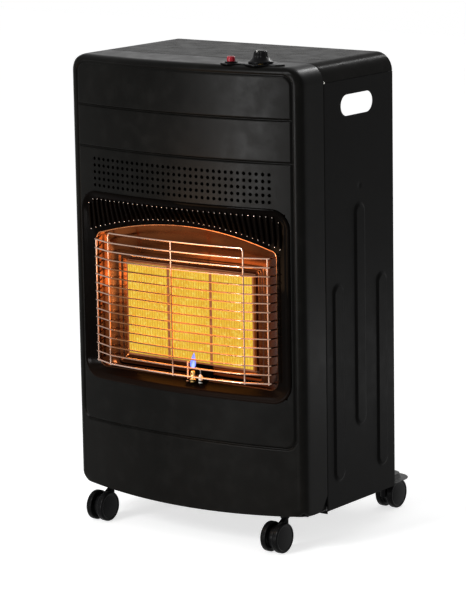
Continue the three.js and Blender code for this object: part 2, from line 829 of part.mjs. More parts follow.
// Bends of the right-hand half of a wire, as [x, y] from its middle outwards.
function wireBends() {
  const endX = openingHalf - 3 * wireRadius;
  const flareRun = openingHalf + reflectorOverlap - reflectorHalf - reflectorFlat;
  const slant = (flareDepth - reflectorDepth) / flareRun;
  const fallen = (guardAt(innerUpright) - outerUprightDepth) / 2;
  return [
    [innerUpright * 0.35, guardAt(innerUpright * 0.35)],
    [innerUpright - 3 * wireRadius, guardAt(innerUpright)],
    [(innerUpright + outerUpright) / 2, fallen],
    [outerUpright + 2 * wireRadius, -outerUprightDepth],
    [endX, flareAt(endX) - gap - wireRadius * slant],
  ];
}

// Depth of the wires at a distance from the middle.
function wireDepthAt(x) {
  const bends = wireBends();
  const next = Math.max(bends.findIndex((bend) => bend[0] > x), 1);
  const [x0, y0] = bends[next - 1];
  const [x1, y1] = bends[next];
  return x < bends[0][0] ? y0 : y0 + ((y1 - y0) * (x - x0)) / (x1 - x0);
}

function acrossWire(z) {
  const half = wireBends().map(([x, y]) => vector(x, y, z));
  const mirrored = half.map((p) => vector(-p.x, p.y, p.z)).reverse();
  return tube([...mirrored, ...half], wireRadius, wireSides);
}

// Wires across, welded to the front of a hoop, a middle upright and two outer uprights.
function wireGuard() {
  const behind = 2 * wireRadius - wireWeld;
  const foot = guardBottom - 2 * wireRadius;
  const hoopTop = guardTop + guardHoopRise;
  const at = (x, z) => vector(x, wireDepthAt(Math.abs(x)) + behind, z);
  const upright = (x, top) => tube([at(x, foot), at(x, top)], wireRadius, wireSides);
  const hoop = rounded([
    at(-innerUpright, foot), at(-innerUpright, hoopTop), at(-innerUpright / 2, hoopTop),
    at(innerUpright / 2, hoopTop), at(innerUpright, hoopTop), at(innerUpright, foot),
  ], guardHoopRadius, 2);
  return join(
    ...range(wireCount).map((i) => acrossWire(guardBottom + i * wirePitch)),
    tube(hoop, wireRadius, wireSides),
    upright(0, hoopTop),
    upright(-outerUpright, guardTop + wireRadius),
    upright(outerUpright, guardTop + wireRadius),
  );
}

addPart('wire_guard', wireGuard(), chrome);

// ---------------------------------------------------------------- burners

const burnerXs = range(plaqueCount).map((i) => (i - (plaqueCount - 1) / 2) * burnerPitch);
const burnerNames = ['left', 'centre', 'right'];
const mixerAxis = -burnerBack + mixerRadius - burnerFloorWall / 2;

// A tray that holds the plaque in its mouth, with a mixing tube up its back. Drawn about X = 0.
function burnerBody() {
  const half = burnerWidth / 2;
  const tray = box(-half, half, -burnerFront, -burnerBack, burnerBottom, burnerTop);
  const hollow = box(
    -half + burnerWall, half - burnerWall, -burnerFront - 1, -burnerBack - burnerFloorWall,
    burnerBottom + burnerWall, burnerTop - burnerWall,
  );
  const ledge = cut(
    box(-half + 1, half - 1, -plaqueFront + plaqueThickness + gap, -plaqueFront + plaqueThickness + 3,
      burnerBottom + 1, burnerTop - 1),
    box(-half + 2 * burnerWall + 2, half - 2 * burnerWall - 2, -burnerFront, -burnerBack,
      burnerBottom + 2 * burnerWall + 2, burnerTop - 2 * burnerWall - 2),
  );
  const mouth = plaqueBottom - mixerDrop;
  const top = plaqueBottom + mixerTop;
  const mixer = turned([
    [0, mouth], [mixerBellRadius, mouth], [mixerRadius, mouth + mixerRadius], [mixerRadius, top], [0, top],
  ], 8).translate([0, mixerAxis, 0]);
  const bore = turned([
    [0, mouth - 1], [mixerBellRadius - mixerWall, mouth - 1], [mixerRadius - mixerWall, mouth + mixerRadius],
    [mixerRadius - mixerWall, top - 5], [0, top - 5],
  ], 8).translate([0, mixerAxis, 0]);
  const passage = box(-4, 4, -burnerBack - burnerFloorWall - 2, mixerAxis, top - 30, top - 10);
  return cut(join(cut(tray, hollow), ledge, cut(mixer, hollow)), bore, passage);
}

burnerXs.forEach((x, i) => {
  const burner = new THREE.Group();
  burner.position.x = x;
  heater.add(burner);
  const name = burnerNames[i];
  const plaque = box(
    -plaqueWidth / 2, plaqueWidth / 2, -plaqueFront, -plaqueFront + plaqueThickness,
    plaqueBottom, plaqueBottom + plaqueHeight,
  );
  addPart(`plaque_${name}`, plaque, glowingCeramic, burner);
  addPart(`burner_${name}`, burnerBody(), aluminium, burner);
});

// The frame that carries the burners: a ring behind the reflector, on two arms from the partition.
function burnerFrame() {
  const front = -reflectorDepth + sheet + gap;
  const half = burnersHalf + gap;
  const ring = cut(
    box(-half - frameBorder, half + frameBorder, front, front + sheet,
      burnerBottom - gap - frameBorder, burnerTop + gap + frameBorder),
    box(-half, half, front - 1, front + sheet + 1, burnerBottom - gap, burnerTop + gap),
  );
  const footY = partitionFront - gap - sheet;
  const arms = [-1, 1].map((side) => {
    const line = [[half, front], [half, footY], [half - frameFoot, footY]];
    const arm = raised(foldedStrip(line, -sheet), burnerBottom + frameArmInset, burnerTop - frameArmInset);
    return side > 0 ? arm : arm.mirror([1, 0, 0]);
  });
  return join(ring, ...arms);
}

addPart('burner_frame', burnerFrame(), plainSteel);

// ---------------------------------------------------------------- gas pipes

const jetTip = plaqueBottom - mixerDrop - jetClearance;
const railTop = jetTip - jetHeight;

// A rail below the burners with one jet under each mixing tube.
function jetRail() {
  const half = burnerXs[burnerXs.length - 1] + railDepth;
  const rail = box(-half, half, mixerAxis - railDepth / 2, mixerAxis + railDepth / 2,
    railTop - railHeight, railTop);
  const jets = burnerXs.map((x) => turned([
    [0, railTop - 1], [railRadiusOfJet, railTop - 1], [railRadiusOfJet, railTop + jetHeight / 2],
    [railRadiusOfJet / 2, jetTip], [0, jetTip],
  ], 8).translate([x, mixerAxis, 0]));
  return join(rail, ...jets);
}

addPart('jet_rail', jetRail(), brass);

const valveTop = topHeight - sheet - controlBracketDrop - sheet - gap;
const valveBottom = valveTop - valveHeight;

const pipeRunHeight = (index) => railTop - railHeight - pipeSpacing * (index + 1) - pipeBend;

// From an outlet under the valve down to the pipe's level run. The outlets stand side by side.
function pipeDrop(index) {
  const outletX = knobX + (index - plaqueCount / 2) * pipePitch;
  const x = firstPipeX + index * pipePitch;
  return [
    vector(outletX, -knobDepth, valveBottom - gap),
    vector(outletX, -knobDepth, valveBottom - pipeTail),
    vector(x, -pipeDepth, valveBottom - pipeTail - pipeSlant),
    vector(x, -pipeDepth, pipeRunHeight(index)),
  ];
}

function burnerPipe(index) {
  const end = burnerXs[burnerXs.length - 1 - index];
  const path = rounded([
    ...pipeDrop(index),
    vector(end, -pipeDepth, pipeRunHeight(index)),
    vector(end, -pipeDepth, railTop - railHeight - gap),
  ], pipeBend);
  return tube(path, pipeRadius, pipeSides);
}

burnerXs.forEach((_, i) => {
  addPart(`gas_pipe_${burnerNames[burnerNames.length - 1 - i]}`, burnerPipe(i), copper);
});

// ---------------------------------------------------------------- pilot

const shelfTop = windowBottom + pilotShelfRise + surroundSill / 4;

function pilotPipe() {
  const low = pipeRunHeight(plaqueCount);
  const high = shelfTop + pilotFeedHeight;
  const path = rounded([
    ...pipeDrop(plaqueCount),
    vector(pilotX, -pipeDepth, low),
    vector(pilotX, -pilotFeedDepth, low),
    vector(pilotX, -pilotFeedDepth, high),
    vector(pilotX, -pilotDepth + pilotRadius + pilotFootWidth + gap, high),
  ], pilotPipeBend);
  return tube(path, pilotPipeRadius, pipeSides);
}

addPart('pilot_pipe', pilotPipe(), copper);

// A shelf for the pilot, folded up against the burner frame through a notch in the reflector.
function pilotBracket() {
  const back = -reflectorDepth - gap / 3;
  const line = [
    [-pilotDepth - pilotShelfDepth / 2, shelfTop], [back, shelfTop], [back, burnerBottom - 3 * gap],
  ];
  const shelf = runAcross(foldedStrip(line, -sheet), pilotShelfLeft, pilotShelfLeft + pilotShelfWidth);
  const feedHole = rod(pilotPipeRadius + 3 * gap, 0, topHeight, 6).translate([pilotX, -pilotFeedDepth, 0]);
  return cut(shelf, feedHole);
}

// Round pilot head with a slotted hood.
function pilotBurner() {
  const head = shelfTop + gap;
  const top = head + pilotHeight;
  const body = turned([
    [0, head], [pilotRadius + pilotFootWidth, head], [pilotRadius + pilotFootWidth, head + 5],
    [pilotRadius, head + 6],
    [pilotRadius, top - 2], [pilotRadius - 1, top], [0, top],
  ], 10);
  const flameSlot = box(-1, 1, -pilotRadius - 2, 0, top - 6, top - 2);
  return cut(body, flameSlot).translate([pilotX, -pilotDepth, 0]);
}

function thermocouple() {
  const head = shelfTop + gap;
  return turned([
    [0, head], [thermocoupleRadius + 1.6, head], [thermocoupleRadius + 1.6, head + 4],
    [thermocoupleRadius, head + 4], [thermocoupleRadius, head + thermocoupleHeight - 2],
    [thermocoupleRadius / 2, head + thermocoupleHeight], [0, head + thermocoupleHeight],
  ], 8).translate([pilotX - thermocoupleOffset, -pilotDepth, 0]);
}

// Porcelain insulator with a wire whose bent tip points at the flame.
function ignitionElectrode() {
  const head = shelfTop + gap;
  const insulator = turned([
    [0, head], [electrodeRadius, head], [electrodeRadius, head + electrodeHeight - 2],
    [electrodeRadius - 1.4, head + electrodeHeight], [0, head + electrodeHeight],
  ], 10);
  const tipHeight = head + electrodeHeight + 7;
  const wire = tube(rounded([
    vector(0, 0, head + electrodeHeight - 2), vector(0, 0, tipHeight), vector(-electrodeTipReach, 0, tipHeight + 2),
  ], 3, 2), 0.8, 5);
  return join(insulator, wire).translate([pilotX + electrodeOffset, -pilotDepth, 0]);
}

addPart('pilot_bracket', pilotBracket(), plainSteel);
addPart('pilot_burner', pilotBurner(), brass);
addPart('thermocouple', thermocouple(), copper);
addPart('ignition_electrode', ignitionElectrode(), porcelain);

// ---------------------------------------------------------------- controls

const knobHole = knobSkirtRadius + slideGap;
const plateTop = topHeight + gap + plateThickness;
const bracketTop = topHeight - sheet - controlBracketDrop;
const knobBottom = topHeight + knobLift;

// The control plate drapes over the front of the flat top: a lobe round the button, a ring round
// the knob and a tail, joined by a strip.
function controlPlate() {
  const low = topHeight + gap;
  const strip = new THREE.Shape([
    point(buttonX, -buttonDepth - plateTailRadius), point(knobX + plateTailReach - plateTailRadius,
      -knobDepth - plateTailRadius), point(knobX + plateTailReach - plateTailRadius,
      -knobDepth + plateTailRadius), point(buttonX, -buttonDepth + plateTailRadius),
  ]);
  const blank = join(
    raised(strip, low, plateTop),
    raised(disc(knobX + plateTailReach - plateTailRadius, -knobDepth, plateTailRadius), low, plateTop, 8),
    raised(disc(buttonX, -buttonDepth, plateLobeRadius), low, plateTop, 9),
    raised(disc(knobX, -knobDepth, knobHole + knobRingWidth), low, plateTop, 14),
  );
  return cut(
    blank,
    rod(knobHole, low - 1, plateTop + 1, 16).translate([knobX, -knobDepth, 0]),
    rod(igniterRadius + gap, low - 1, plateTop + 1, 12).translate([buttonX, -buttonDepth, 0]),
  );
}

// The shelf under the flat top that carries the valve and the igniter.
function controlBracket() {
  const left = buttonX - plateLobeRadius;
  const right = knobX + valveWidth / 2 + valveShelfMargin;
  const back = -gap;
  const front = bowAt(right) + sheet + cowlBrowRadius / 4;
  const line = [[back, bracketTop - valveShelfFold], [back, bracketTop], [front, bracketTop]];
  const shelf = runAcross(foldedStrip(line), left, right);
  return cut(
    shelf,
    rod(valveNeckRadius + gap, 0, topHeight, 12).translate([knobX, -knobDepth, 0]),
    rod(igniterRadius + gap, 0, topHeight, 12).translate([buttonX, -buttonDepth, 0]),
  );
}

// Cast valve block with a neck for the spindle, a port for the inlet and outlets below.
function controlValve() {
  const block = raised(roundedRectangle(-valveWidth / 2, valveWidth / 2, -valveDepth / 2, valveDepth / 2, 4),
    valveBottom, valveTop, 2);
  const neck = rod(valveNeckRadius, valveTop - 1, bracketTop + 2, 12);
  const spindleBore = rod(spindleRadius + gap, valveTop - 22, topHeight, 12);
  return cut(join(block, neck), spindleBore).translate([knobX, -knobDepth, 0]);
}

function valveSpindle() {
  const low = valveTop - 22 + knobTravel + 2;
  const top = knobBottom + knobHeight - 5;
  return rod(spindleRadius, low, top, 12).translate([knobX, -knobDepth, 0]);
}

// Knob with a wide skirt, a cone and a ribbed grip with a raised pointer.
function controlKnob() {
  const top = knobHeight;
  const body = turned([
    [0, 0], [knobSkirtRadius, 0], [knobSkirtRadius, knobSkirtHeight],
    [knobGripRadius + 1.5, knobConeHeight], [knobGripRadius, knobConeHeight + 2],
    [knobGripRadius - 0.8, top - 1.5], [knobGripRadius - 2.5, top], [0, top],
  ], 16);
  const flutes = range(knobFlutes).map((i) => {
    const angle = ((2 * i + 1) * Math.PI) / knobFlutes;
    const reach = knobGripRadius + 1.4;
    return rod(2.2, knobConeHeight + 1, top + 1, 5)
      .translate([reach * Math.cos(angle), reach * Math.sin(angle), 0]);
  });
  const pointer = box(-0.9, 0.9, -knobGripRadius + 0.6, -2, top - 2, top + 0.8);
  const bore = rod(spindleRadius + slideGap, -1, top - 5 + gap);
  return cut(join(cut(body, ...flutes), pointer), bore);
}

// Push-button igniter: a threaded barrel hung by its collar, with a bore for the button.
function piezoIgniter() {
  const top = plateTop + gap + igniterCollarHeight;
  const low = top - igniterLength;
  const boreBottom = topHeight + buttonProud - 18 - buttonTravel - 1.5;
  const barrel = turned([
    [0, low], [igniterRadius - 2.5, low], [igniterRadius - 2.5, low + 12], [igniterRadius, low + 13],
    [igniterRadius, plateTop + gap], [igniterCollarRadius, plateTop + gap], [igniterCollarRadius, top], [0, top],
  ], 12);
  return cut(barrel, rod(buttonRadius + slideGap, boreBottom, top + 1, 12));
}

function piezoButton() {
  const top = topHeight + buttonProud;
  return turned([
    [0, top - 18], [buttonRadius, top - 18], [buttonRadius, top - 1.2], [buttonRadius - 1.2, top], [0, top],
  ], 12);
}

// Hose nipple through the partition into the bottle bay.
function gasInlet() {
  const start = -knobDepth + valveDepth / 2 + gap;
  const end = start + inletLength;
  const barbs = range(2).flatMap((i) => {
    const y = end - 14 + i * 7;
    return [[inletRadius - 1, y], [inletRadius, y], [inletRadius - 1, y + 5]];
  });
  const profile = [
    [0, start], [inletRadius + 1.5, start], [inletRadius + 1.5, start + 8], [inletRadius - 1, start + 8],
    ...barbs, [inletRadius - 1, end], [0, end],
  ];
  const nipple = turned(profile, 8);
  const bore = rod(inletRadius - 2.4, end - 24, end + 1, 6);
  return cut(nipple, bore).rotate([-90, 0, 0]).translate([knobX, 0, valveTop - inletDrop]);
}

addPart('control_plate', controlPlate(), blackPlastic);
addPart('control_bracket', controlBracket(), plainSteel);
addPart('control_valve', controlValve(), aluminium);
addPart('valve_spindle', valveSpindle(), brass);
addPart('gas_inlet', gasInlet(), brass);
addPart('control_knob', controlKnob(), blackPlastic).position.set(knobX, -knobDepth, knobBottom);
addPart('piezo_igniter', piezoIgniter(), blackPlastic).position.set(buttonX, -buttonDepth, 0);
addPart('piezo_button', piezoButton(), redPlastic).position.set(buttonX, -buttonDepth, 0);

// ---------------------------------------------------------------- partition and deflector

const shoulderOutline = (inset, low) => {
  return roundedRectangle(-halfWidth + inset, halfWidth - inset, low, topHeight - inset, 0,
    shoulderRadius - inset);
};

function partition() {
  const wall = runBack(shoulderOutline(sheet + 2 * gap, trayTop + gap),
    partitionFront, partitionFront + sheet, 4);
  const middle = (partitionVentCount - 1) / 2;
  const vents = range(partitionVentCount).map((i) => {
    const x = (i - middle) * partitionVentPitch;
    return box(x - partitionVentWidth / 2, x + partitionVentWidth / 2, 0, 2 * partitionFront + sheet,
      partitionVentBottom, partitionVentBottom + partitionVentHeight);
  });
  const inletHole = alongY(rod(inletRadius + 2.5, -5, 10, 12))
    .translate([knobX, 0, valveTop - inletDrop]);
  return cut(wall, inletHole, ...vents);
}

// Sloping sheet above the burners that turns the hot air out through the vent holes.
function heatDeflector() {
  const back = partitionFront - gap;
  const front = -deflectorReach;
  const frontZ = highestVent + deflectorRise;
  const backZ = frontZ - deflectorSlope;
  const line = [
    [back, backZ - deflectorFoot], [back, backZ], [front, frontZ], [front, frontZ - deflectorLip],
  ];
  const half = panelInside - panelFlange - 2 * gap;
  const right = firstPipeX - 2 * pipePitch;
  return runAcross(foldedStrip(line), -half, right);
}

addPart('partition', partition(), plainSteel);
addPart('heat_deflector', heatDeflector(), plainSteel);

// ---------------------------------------------------------------- cabinet

// Right-hand side panel: a channel with folded edges, three ribs pressed out, a hand slot and an
// edge set in to go behind the top cover.
function sidePanel() {
  const top = coverEdge - gap;
  const back = cabinetDepth;
  const channel = raised(foldedStrip([
    [halfWidth - panelFlange, gap], [halfWidth, gap], [halfWidth, back], [halfWidth - panelFlange, back],
  ]), panelBottom, top);
  const ribs = ribDepths.map((depth, i) => pressedRib(depth, ribBottoms[i], ribTops[i], 0));
  const dents = ribDepths.map((depth, i) => pressedRib(depth, ribBottoms[i], ribTops[i], sheet));
  const slot = runAcross(obround(slotCentreDepth, topHeight - slotDrop, slotLength, slotHeight),
    halfWidth - panelFlange, halfWidth + panelFlange, 5);
  const setIn = panelInside - 1.6;
  const joggle = runBack(foldedStrip([
    [panelInside + sheet / 2, top - 12], [panelInside + sheet / 2, top - 7], [setIn, top + 1],
    [setIn, top + joggleHeight],
  ], sheet), 8, back - 8);
  const baseNotch = box(halfWidth - panelFlange - 1, panelInside, -1, back + 1, 0, trayTop + gap);
  return cut(join(channel, joggle, ...ribs), ...dents, slot, baseNotch);
}

function pressedRib(depth, low, high, inset) {
  const foot = ribWidth / 2;
  const ringAt = (x, shrink) => {
    const radius = foot - shrink;
    const ends = [
      ...arcPoints(depth, high - foot, radius, 0, 180, 4),
      ...arcPoints(depth, low + foot, radius, 180, 360, 4),
    ];
    return ends.map(([y, z]) => vector(x, y, z));
  };
  const root = halfWidth - inset - (inset > 0 ? 1 : sheet / 2);
  return loft([
    ringAt(root, inset * 0.7), ringAt(halfWidth - inset, inset * 0.7),
    ringAt(halfWidth + ribStand - inset, ribFlank + inset * 0.7),
  ], (p) => point(p.y, p.z));
}

function topCover() {
  const arc = (side) => arcPoints(
    side * (halfWidth - shoulderRadius), coverEdge, shoulderRadius, side > 0 ? 0 : 90, side > 0 ? 90 : 180, 6,
  );
  const canopy = runBack(foldedStrip([...arc(1), ...arc(-1)]), gap, cabinetDepth);
  const flange = runBack(shoulderOutline(sheet / 2, coverEdge - 50), cabinetDepth - sheet, cabinetDepth)
    .trimByPlane([0, 0, 1], topHeight - topFlangeHeight);
  return join(canopy, flange);
}

addPart('side_panel_right', sidePanel(), blackPaint);
addPart('side_panel_left', sidePanel().mirror([1, 0, 0]), blackPaint);
addPart('top_cover', topCover(), greyPaint);

// ---------------------------------------------------------------- base

const baseHalf = panelInside - 2 * gap;
const stemX = halfWidth - castorInset;
const backStemDepth = baseBack - backCastorInset;

// Pressed base: a rim, a raised tray for the bottle, flat pads over the back castors and
// upturned gussets inside the cowl.
function baseTray() {
  const rimShape = new THREE.Shape();
  const frontHalf = baseHalf - sheet;
  rimShape.moveTo(-frontHalf, -baseFrontReach);
  rimShape.lineTo(frontHalf, -baseFrontReach);
  rimShape.lineTo(frontHalf, gap);
  rimShape.lineTo(baseHalf, 2 * sheet);
  rimShape.lineTo(baseHalf, baseBack - baseCornerRadius);
  rimShape.absarc(baseHalf - baseCornerRadius, baseBack - baseCornerRadius, baseCornerRadius, 0, Math.PI / 2);
  rimShape.lineTo(-baseHalf + baseCornerRadius, baseBack);
  rimShape.absarc(-baseHalf + baseCornerRadius, baseBack - baseCornerRadius, baseCornerRadius,
    Math.PI / 2, Math.PI);
  rimShape.lineTo(-baseHalf, 2 * sheet);
  rimShape.lineTo(-frontHalf, gap);
  const rim = raised(rimShape, baseTop - sheet, baseTop, 5);
  const level = (z, shrink) => roundedRing(
    -baseHalf + trayMargin + shrink, baseHalf - trayMargin - shrink,
    partitionFront + sheet + shrink, baseBack - trayBackMargin - shrink,
    baseCornerRadius - trayMargin - shrink, 4,
  ).map(([x, y]) => vector(x, y, z));
  const tray = loft([level(baseTop - sheet, 0), level(baseTop, 0), level(trayTop, trayFlank)],
    (p) => point(p.x, p.y));
  const under = loft([
    level(baseTop - 2 * sheet, sheet), level(baseTop - sheet, sheet), level(trayTop - sheet, trayFlank + sheet),
  ], (p) => point(p.x, p.y));
  const pads = [-1, 1].map((side) => box(
    side * stemX - 22, side * stemX + 22, backStemDepth - 22, baseBack - trayBackMargin, baseTop - sheet, baseTop,
  ));
  const gussets = [-1, 1].map((side) => {
    const shape = outline([[-gussetDepth, baseTop - sheet], [0, baseTop - sheet], [0, baseTop + gussetHeight]]);
    const x = side * frontHalf;
    return runAcross(shape, Math.min(x, x - side * sheet), Math.max(x, x - side * sheet));
  });
  const studs = [-1, 1].flatMap((side) => [-frontCastorDepth, backStemDepth].map((y) => {
    return rod(stemRadius + gap, baseTop - 5, baseTop + 1, 8).translate([side * stemX, y, 0]);
  }));
  return cut(join(cut(join(rim, tray), under), ...pads, ...gussets), ...studs);
}

// Stiffening channel under the base, below the seam.
function frontChannel() {
  const top = baseTop - sheet - gap;
  const back = 2 * sheet + gap;
  const front = back - channelDepth;
  const line = [[back, top - channelDrop], [back, top], [front, top], [front, top - channelDrop]];
  return runAcross(foldedStrip(line), -baseHalf, baseHalf);
}

addPart('base_tray', baseTray(), greyPaint);
addPart('front_channel', frontChannel(), blackPaint);

// ---------------------------------------------------------------- castors

// One castor about its stem at X = 0, Y = 0, trailing towards -Y.
function castorStem() {
  const under = baseTop - sheet - gap;
  return turned([
    [0, wheelRadius + 6], [stemRadius, wheelRadius + 6], [stemRadius, under - stemFlangeHeight],
    [stemFlangeRadius, under - stemFlangeHeight], [stemFlangeRadius, under], [stemRadius, under],
    [stemRadius, baseTop + stemStud], [0, baseTop + stemStud],
  ], 8);
}

function castorHousing() {
  const neckTop = baseTop - sheet - gap - stemFlangeHeight - 3 * gap;
  const neckLow = neckTop - neckHeight;
  const neck = rod(neckRadius, neckLow, neckTop, 8);
  const sleeve = rod(sleeveRadius, wheelRadius - 2, neckLow + 1, 8);
  const webShape = new THREE.Shape();
  webShape.absarc(-castorTrail, wheelRadius, webRadius, THREE.MathUtils.degToRad(75),
    THREE.MathUtils.degToRad(300));
  webShape.lineTo(0, wheelRadius - 2);
  webShape.lineTo(0, neckLow + 2);
  const web = runAcross(webShape, -webThickness / 2, webThickness / 2, 4);
  const stemBore = rod(stemRadius + slideGap, wheelRadius + 4, baseTop, 8);
  const axleBore = alongX(rod(axleRadius + gap, -20, 20, 8)).translate([0, -castorTrail, wheelRadius]);
  return cut(join(neck, sleeve, web), stemBore, axleBore);
}

function castorAxle() {
  const half = wheelGap / 2 + wheelWidth - hubcapWall - 2 * gap;
  return alongX(rod(axleRadius, -half, half, 8));
}

// A wheel whose flat inner side lies at X = 0 and whose hubcap closes its outer side.
function castorWheel() {
  const rim = wheelRadius / Math.cos(Math.PI / wheelSides);
  const boreRadius = axleRadius + slideGap;
  const boreEnd = wheelWidth - hubcapWall;
  const wheel = turned([
    [0, wheelWidth], [rim - hubcapWall, wheelWidth], [rim, wheelWidth - 2 * hubcapWall],
    [rim, hubcapWall], [rim - hubcapWall, 0], [boreRadius, 0], [boreRadius, boreEnd], [0, boreEnd],
  ], wheelSides, Math.PI / 2 - Math.PI / wheelSides);
  return alongX(wheel);
}

const castors = [
  ['front_left', -1, -frontCastorDepth, 0], ['front_right', 1, -frontCastorDepth, 0],
  ['back_left', -1, backStemDepth, Math.PI], ['back_right', 1, backStemDepth, Math.PI],
];

for (const [name, side, depth, turn] of castors) {
  const castor = new THREE.Group();
  castor.position.set(side * stemX, depth, 0);
  castor.rotation.z = turn;
  heater.add(castor);
  addPart(`castor_${name}_stem`, castorStem(), zinc, castor);
  addPart(`castor_${name}_housing`, castorHousing(), blackPlastic, castor);
  addPart(`castor_${name}_axle`, castorAxle(), zinc, castor).position.set(0, -castorTrail, wheelRadius);
  for (const [which, direction] of [['wheel_a', 1], ['wheel_b', -1]]) {
    const wheel = addPart(`castor_${name}_${which}`, castorWheel(), blackPlastic, castor);
    wheel.position.set((direction * wheelGap) / 2, -castorTrail, wheelRadius);
    wheel.rotation.z = direction > 0 ? 0 : Math.PI;
  }
}

// ---------------------------------------------------------------- origin

const extent = new THREE.Box3().setFromObject(heater, true);
heater.position.y = -(extent.min.y + extent.max.y) / 2;
heater.updateMatrixWorld(true);

export default heater;
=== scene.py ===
"""Looks of a portable gas cabinet heater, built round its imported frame.

Lengths inside the shape functions are millimetres from the seam: X to the right of a viewer facing the
front, Y back from the seam between cowl and cabinet, Z up from the floor.
"""

import math

import bmesh
import bpy
import numpy as np
from mathutils import Matrix, Vector


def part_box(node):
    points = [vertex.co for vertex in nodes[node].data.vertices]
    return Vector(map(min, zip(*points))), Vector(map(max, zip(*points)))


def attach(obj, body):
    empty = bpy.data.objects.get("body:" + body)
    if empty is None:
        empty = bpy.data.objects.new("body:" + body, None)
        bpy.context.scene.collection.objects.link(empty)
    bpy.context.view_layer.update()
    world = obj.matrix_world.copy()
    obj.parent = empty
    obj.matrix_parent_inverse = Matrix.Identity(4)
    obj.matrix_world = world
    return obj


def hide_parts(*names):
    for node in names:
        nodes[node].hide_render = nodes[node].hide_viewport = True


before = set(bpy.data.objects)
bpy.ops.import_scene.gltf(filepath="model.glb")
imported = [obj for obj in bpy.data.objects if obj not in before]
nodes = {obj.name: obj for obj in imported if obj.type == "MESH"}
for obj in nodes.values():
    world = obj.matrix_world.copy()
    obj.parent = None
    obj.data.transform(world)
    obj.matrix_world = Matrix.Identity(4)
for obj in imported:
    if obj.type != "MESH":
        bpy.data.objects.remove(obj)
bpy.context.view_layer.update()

MM = 0.001
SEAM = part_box("front_cowl")[1].y / MM

# ---------------------------------------------------------------- sizes, in millimetres

# cowl and cabinet: outer sheet, folds and edges
HALF_WIDTH = 210.0
TOP = 711.0
SHEET = 1.2
SHOULDER = 27.0
BROW = 12.0
CORNER = 12.0
FACE_HALF = HALF_WIDTH - CORNER
FACE_DEPTH, FACE_BOW = 58.0, 23.0
HEM, HEM_DIP, HEM_HEEL = 56.3, 7.0, 21.0
HEM_TOP = 100.0
TUCK_RADIUS = 10.0
LOW_CORNER = (207.0, -55.0)
CABINET_DEPTH = 180.0
PANEL_BOTTOM, PANEL_TOP = 53.0, 683.4
FLANGE_EDGE = 198.5
COVER_EDGE = TOP - SHOULDER
BACK_FLANGE, BACK_FLANGE_LOW = 14.0, 692.0
GAP = 0.3
SIDES = ((1, "right"), (-1, "left"))

# lines pressed into the cowl, and its field of vent holes
LINE_HALF_WIDTH = 3.0
LINE_DEPTH = 2.4
LINE_SIDE = 195.5
LINE_LOW = 156.0
LINE_HIGH = 700.0
LINE_CORNER = 16.0
CROSS_LINES = (574.0, 636.0)
VENT_PITCH = 10.0
VENT_RADIUS = 2.5
VENT_HALF_FIELD = 165.0
VENT_LOW, VENT_HIGH = 512.0, 562.0

# window: the hole in the cowl, the surround over it, the arched opening at its bottom, and the fins
CUT_HALF, CUT_LOW, CUT_HIGH = 184.0, 229.2, 500.8
SURROUND_HALF = 191.0
WINDOW_LOW, WINDOW_HIGH = 222.0, 508.0
SURROUND_RADIUS = 30.0
OPENING_HALF = 165.0
OPENING_LOW, OPENING_HIGH = 240.0, 467.0
ARCH_DROP = 25.0
LIP_DEPTH = 58.0
FIN_PITCH = 9.4
FIN_COUNT = 38

# wire guard
WIRE_RADIUS = 1.2
WIRE_COUNT = 15
WIRE_PITCH = 13.13
WIRE_LOWEST = 252.2
WIRE_TURN, WIRE_TURN_DEPTH = 120.4, 86.5
HOOP_HALF = 124.0
HOOP_TOP = 450.0
OUTER_POST, OUTER_POST_TOP = 157.5, 437.2
GUARD_FOOT = 249.8
GUARD_FRONT, GUARD_BOW = 93.9, 7.9

# plaques of the burners, and the reflector round them
PLAQUE_FRONT = 50.5
PLAQUE_LOW, PLAQUE_HIGH = 264.0, 401.0
PLAQUE_WIDTH = 72.6
PLAQUE_PITCH = 78.1
PAN_INNER = 119.1
FLAT_HALF, FLAT_DEPTH = 140.1, 46.2
FLARE_REACH, FLARE_DEPTH = 27.9, 9.9

# pilot: the shelf it stands on, its row, and where its three pieces stand along it
PILOT_SHELF = 237.3
PILOT_ROW = -66.0
PROBE_X, PILOT_X, ELECTRODE_X = 8.0, 17.0, 31.0

# side panels: ribs as (middle, low, high), dimple as (y, z), hand slot as (y, z, length, height)
RIBS = ((32, 92, 388), (89, 166, 500), (146, 92, 388))
RIB_RISE = 2.5
RIB_CREST, RIB_FOOT = 10.0, 14.0
DIMPLE = (90.0, 525.0)
HAND_SLOT = (85.0, 646.0, 83.0, 31.0)

# base: the tray's rim, its raised floor, and the channel under its front
TRAY_RIM, TRAY_FLOOR = 56.0, 64.0
TRAY_HALF = 208.2
TRAY_FRONT, TRAY_BACK = -57.0, 237.0
STEP_HALF, STEP_FRONT, STEP_BACK, STEP_RADIUS = 201.7, 3.4, 225.0, 20.5
CHANNEL_BACK, CHANNEL_FRONT = 2.7, -27.3
CHANNEL_LOW, CHANNEL_HIGH = 48.5, 54.5
CHANNEL_MITRE = 14.0

# controls on the top: places as (x, y)
KNOB = (131.0, -42.0)
KNOB_FOOT = 713.6
BUTTON = (88.0, -55.0)
PAD_LOW, PAD_HIGH = 711.3, 713.1
NIPPLE_HEIGHT = 673.8

# castors
STEM_SIDE = 163.0
STEM_FRONT, STEM_BACK = -42.0, 218.5
WHEEL_RADIUS = 22.5
WHEEL_FACE = 5.5
TRAIL = 21.0
FORK_ROUND = 17.0
FORK_HALF = 4.0

# ---------------------------------------------------------------- numbers into meshes


def smooth(low, high, value):
    """0 below low, 1 above high, and the cubic 3t^2 - 2t^3 between them."""
    t = np.clip((np.asarray(value, float) - low) / (high - low), 0, 1)
    return t * t * (3 - 2 * t)


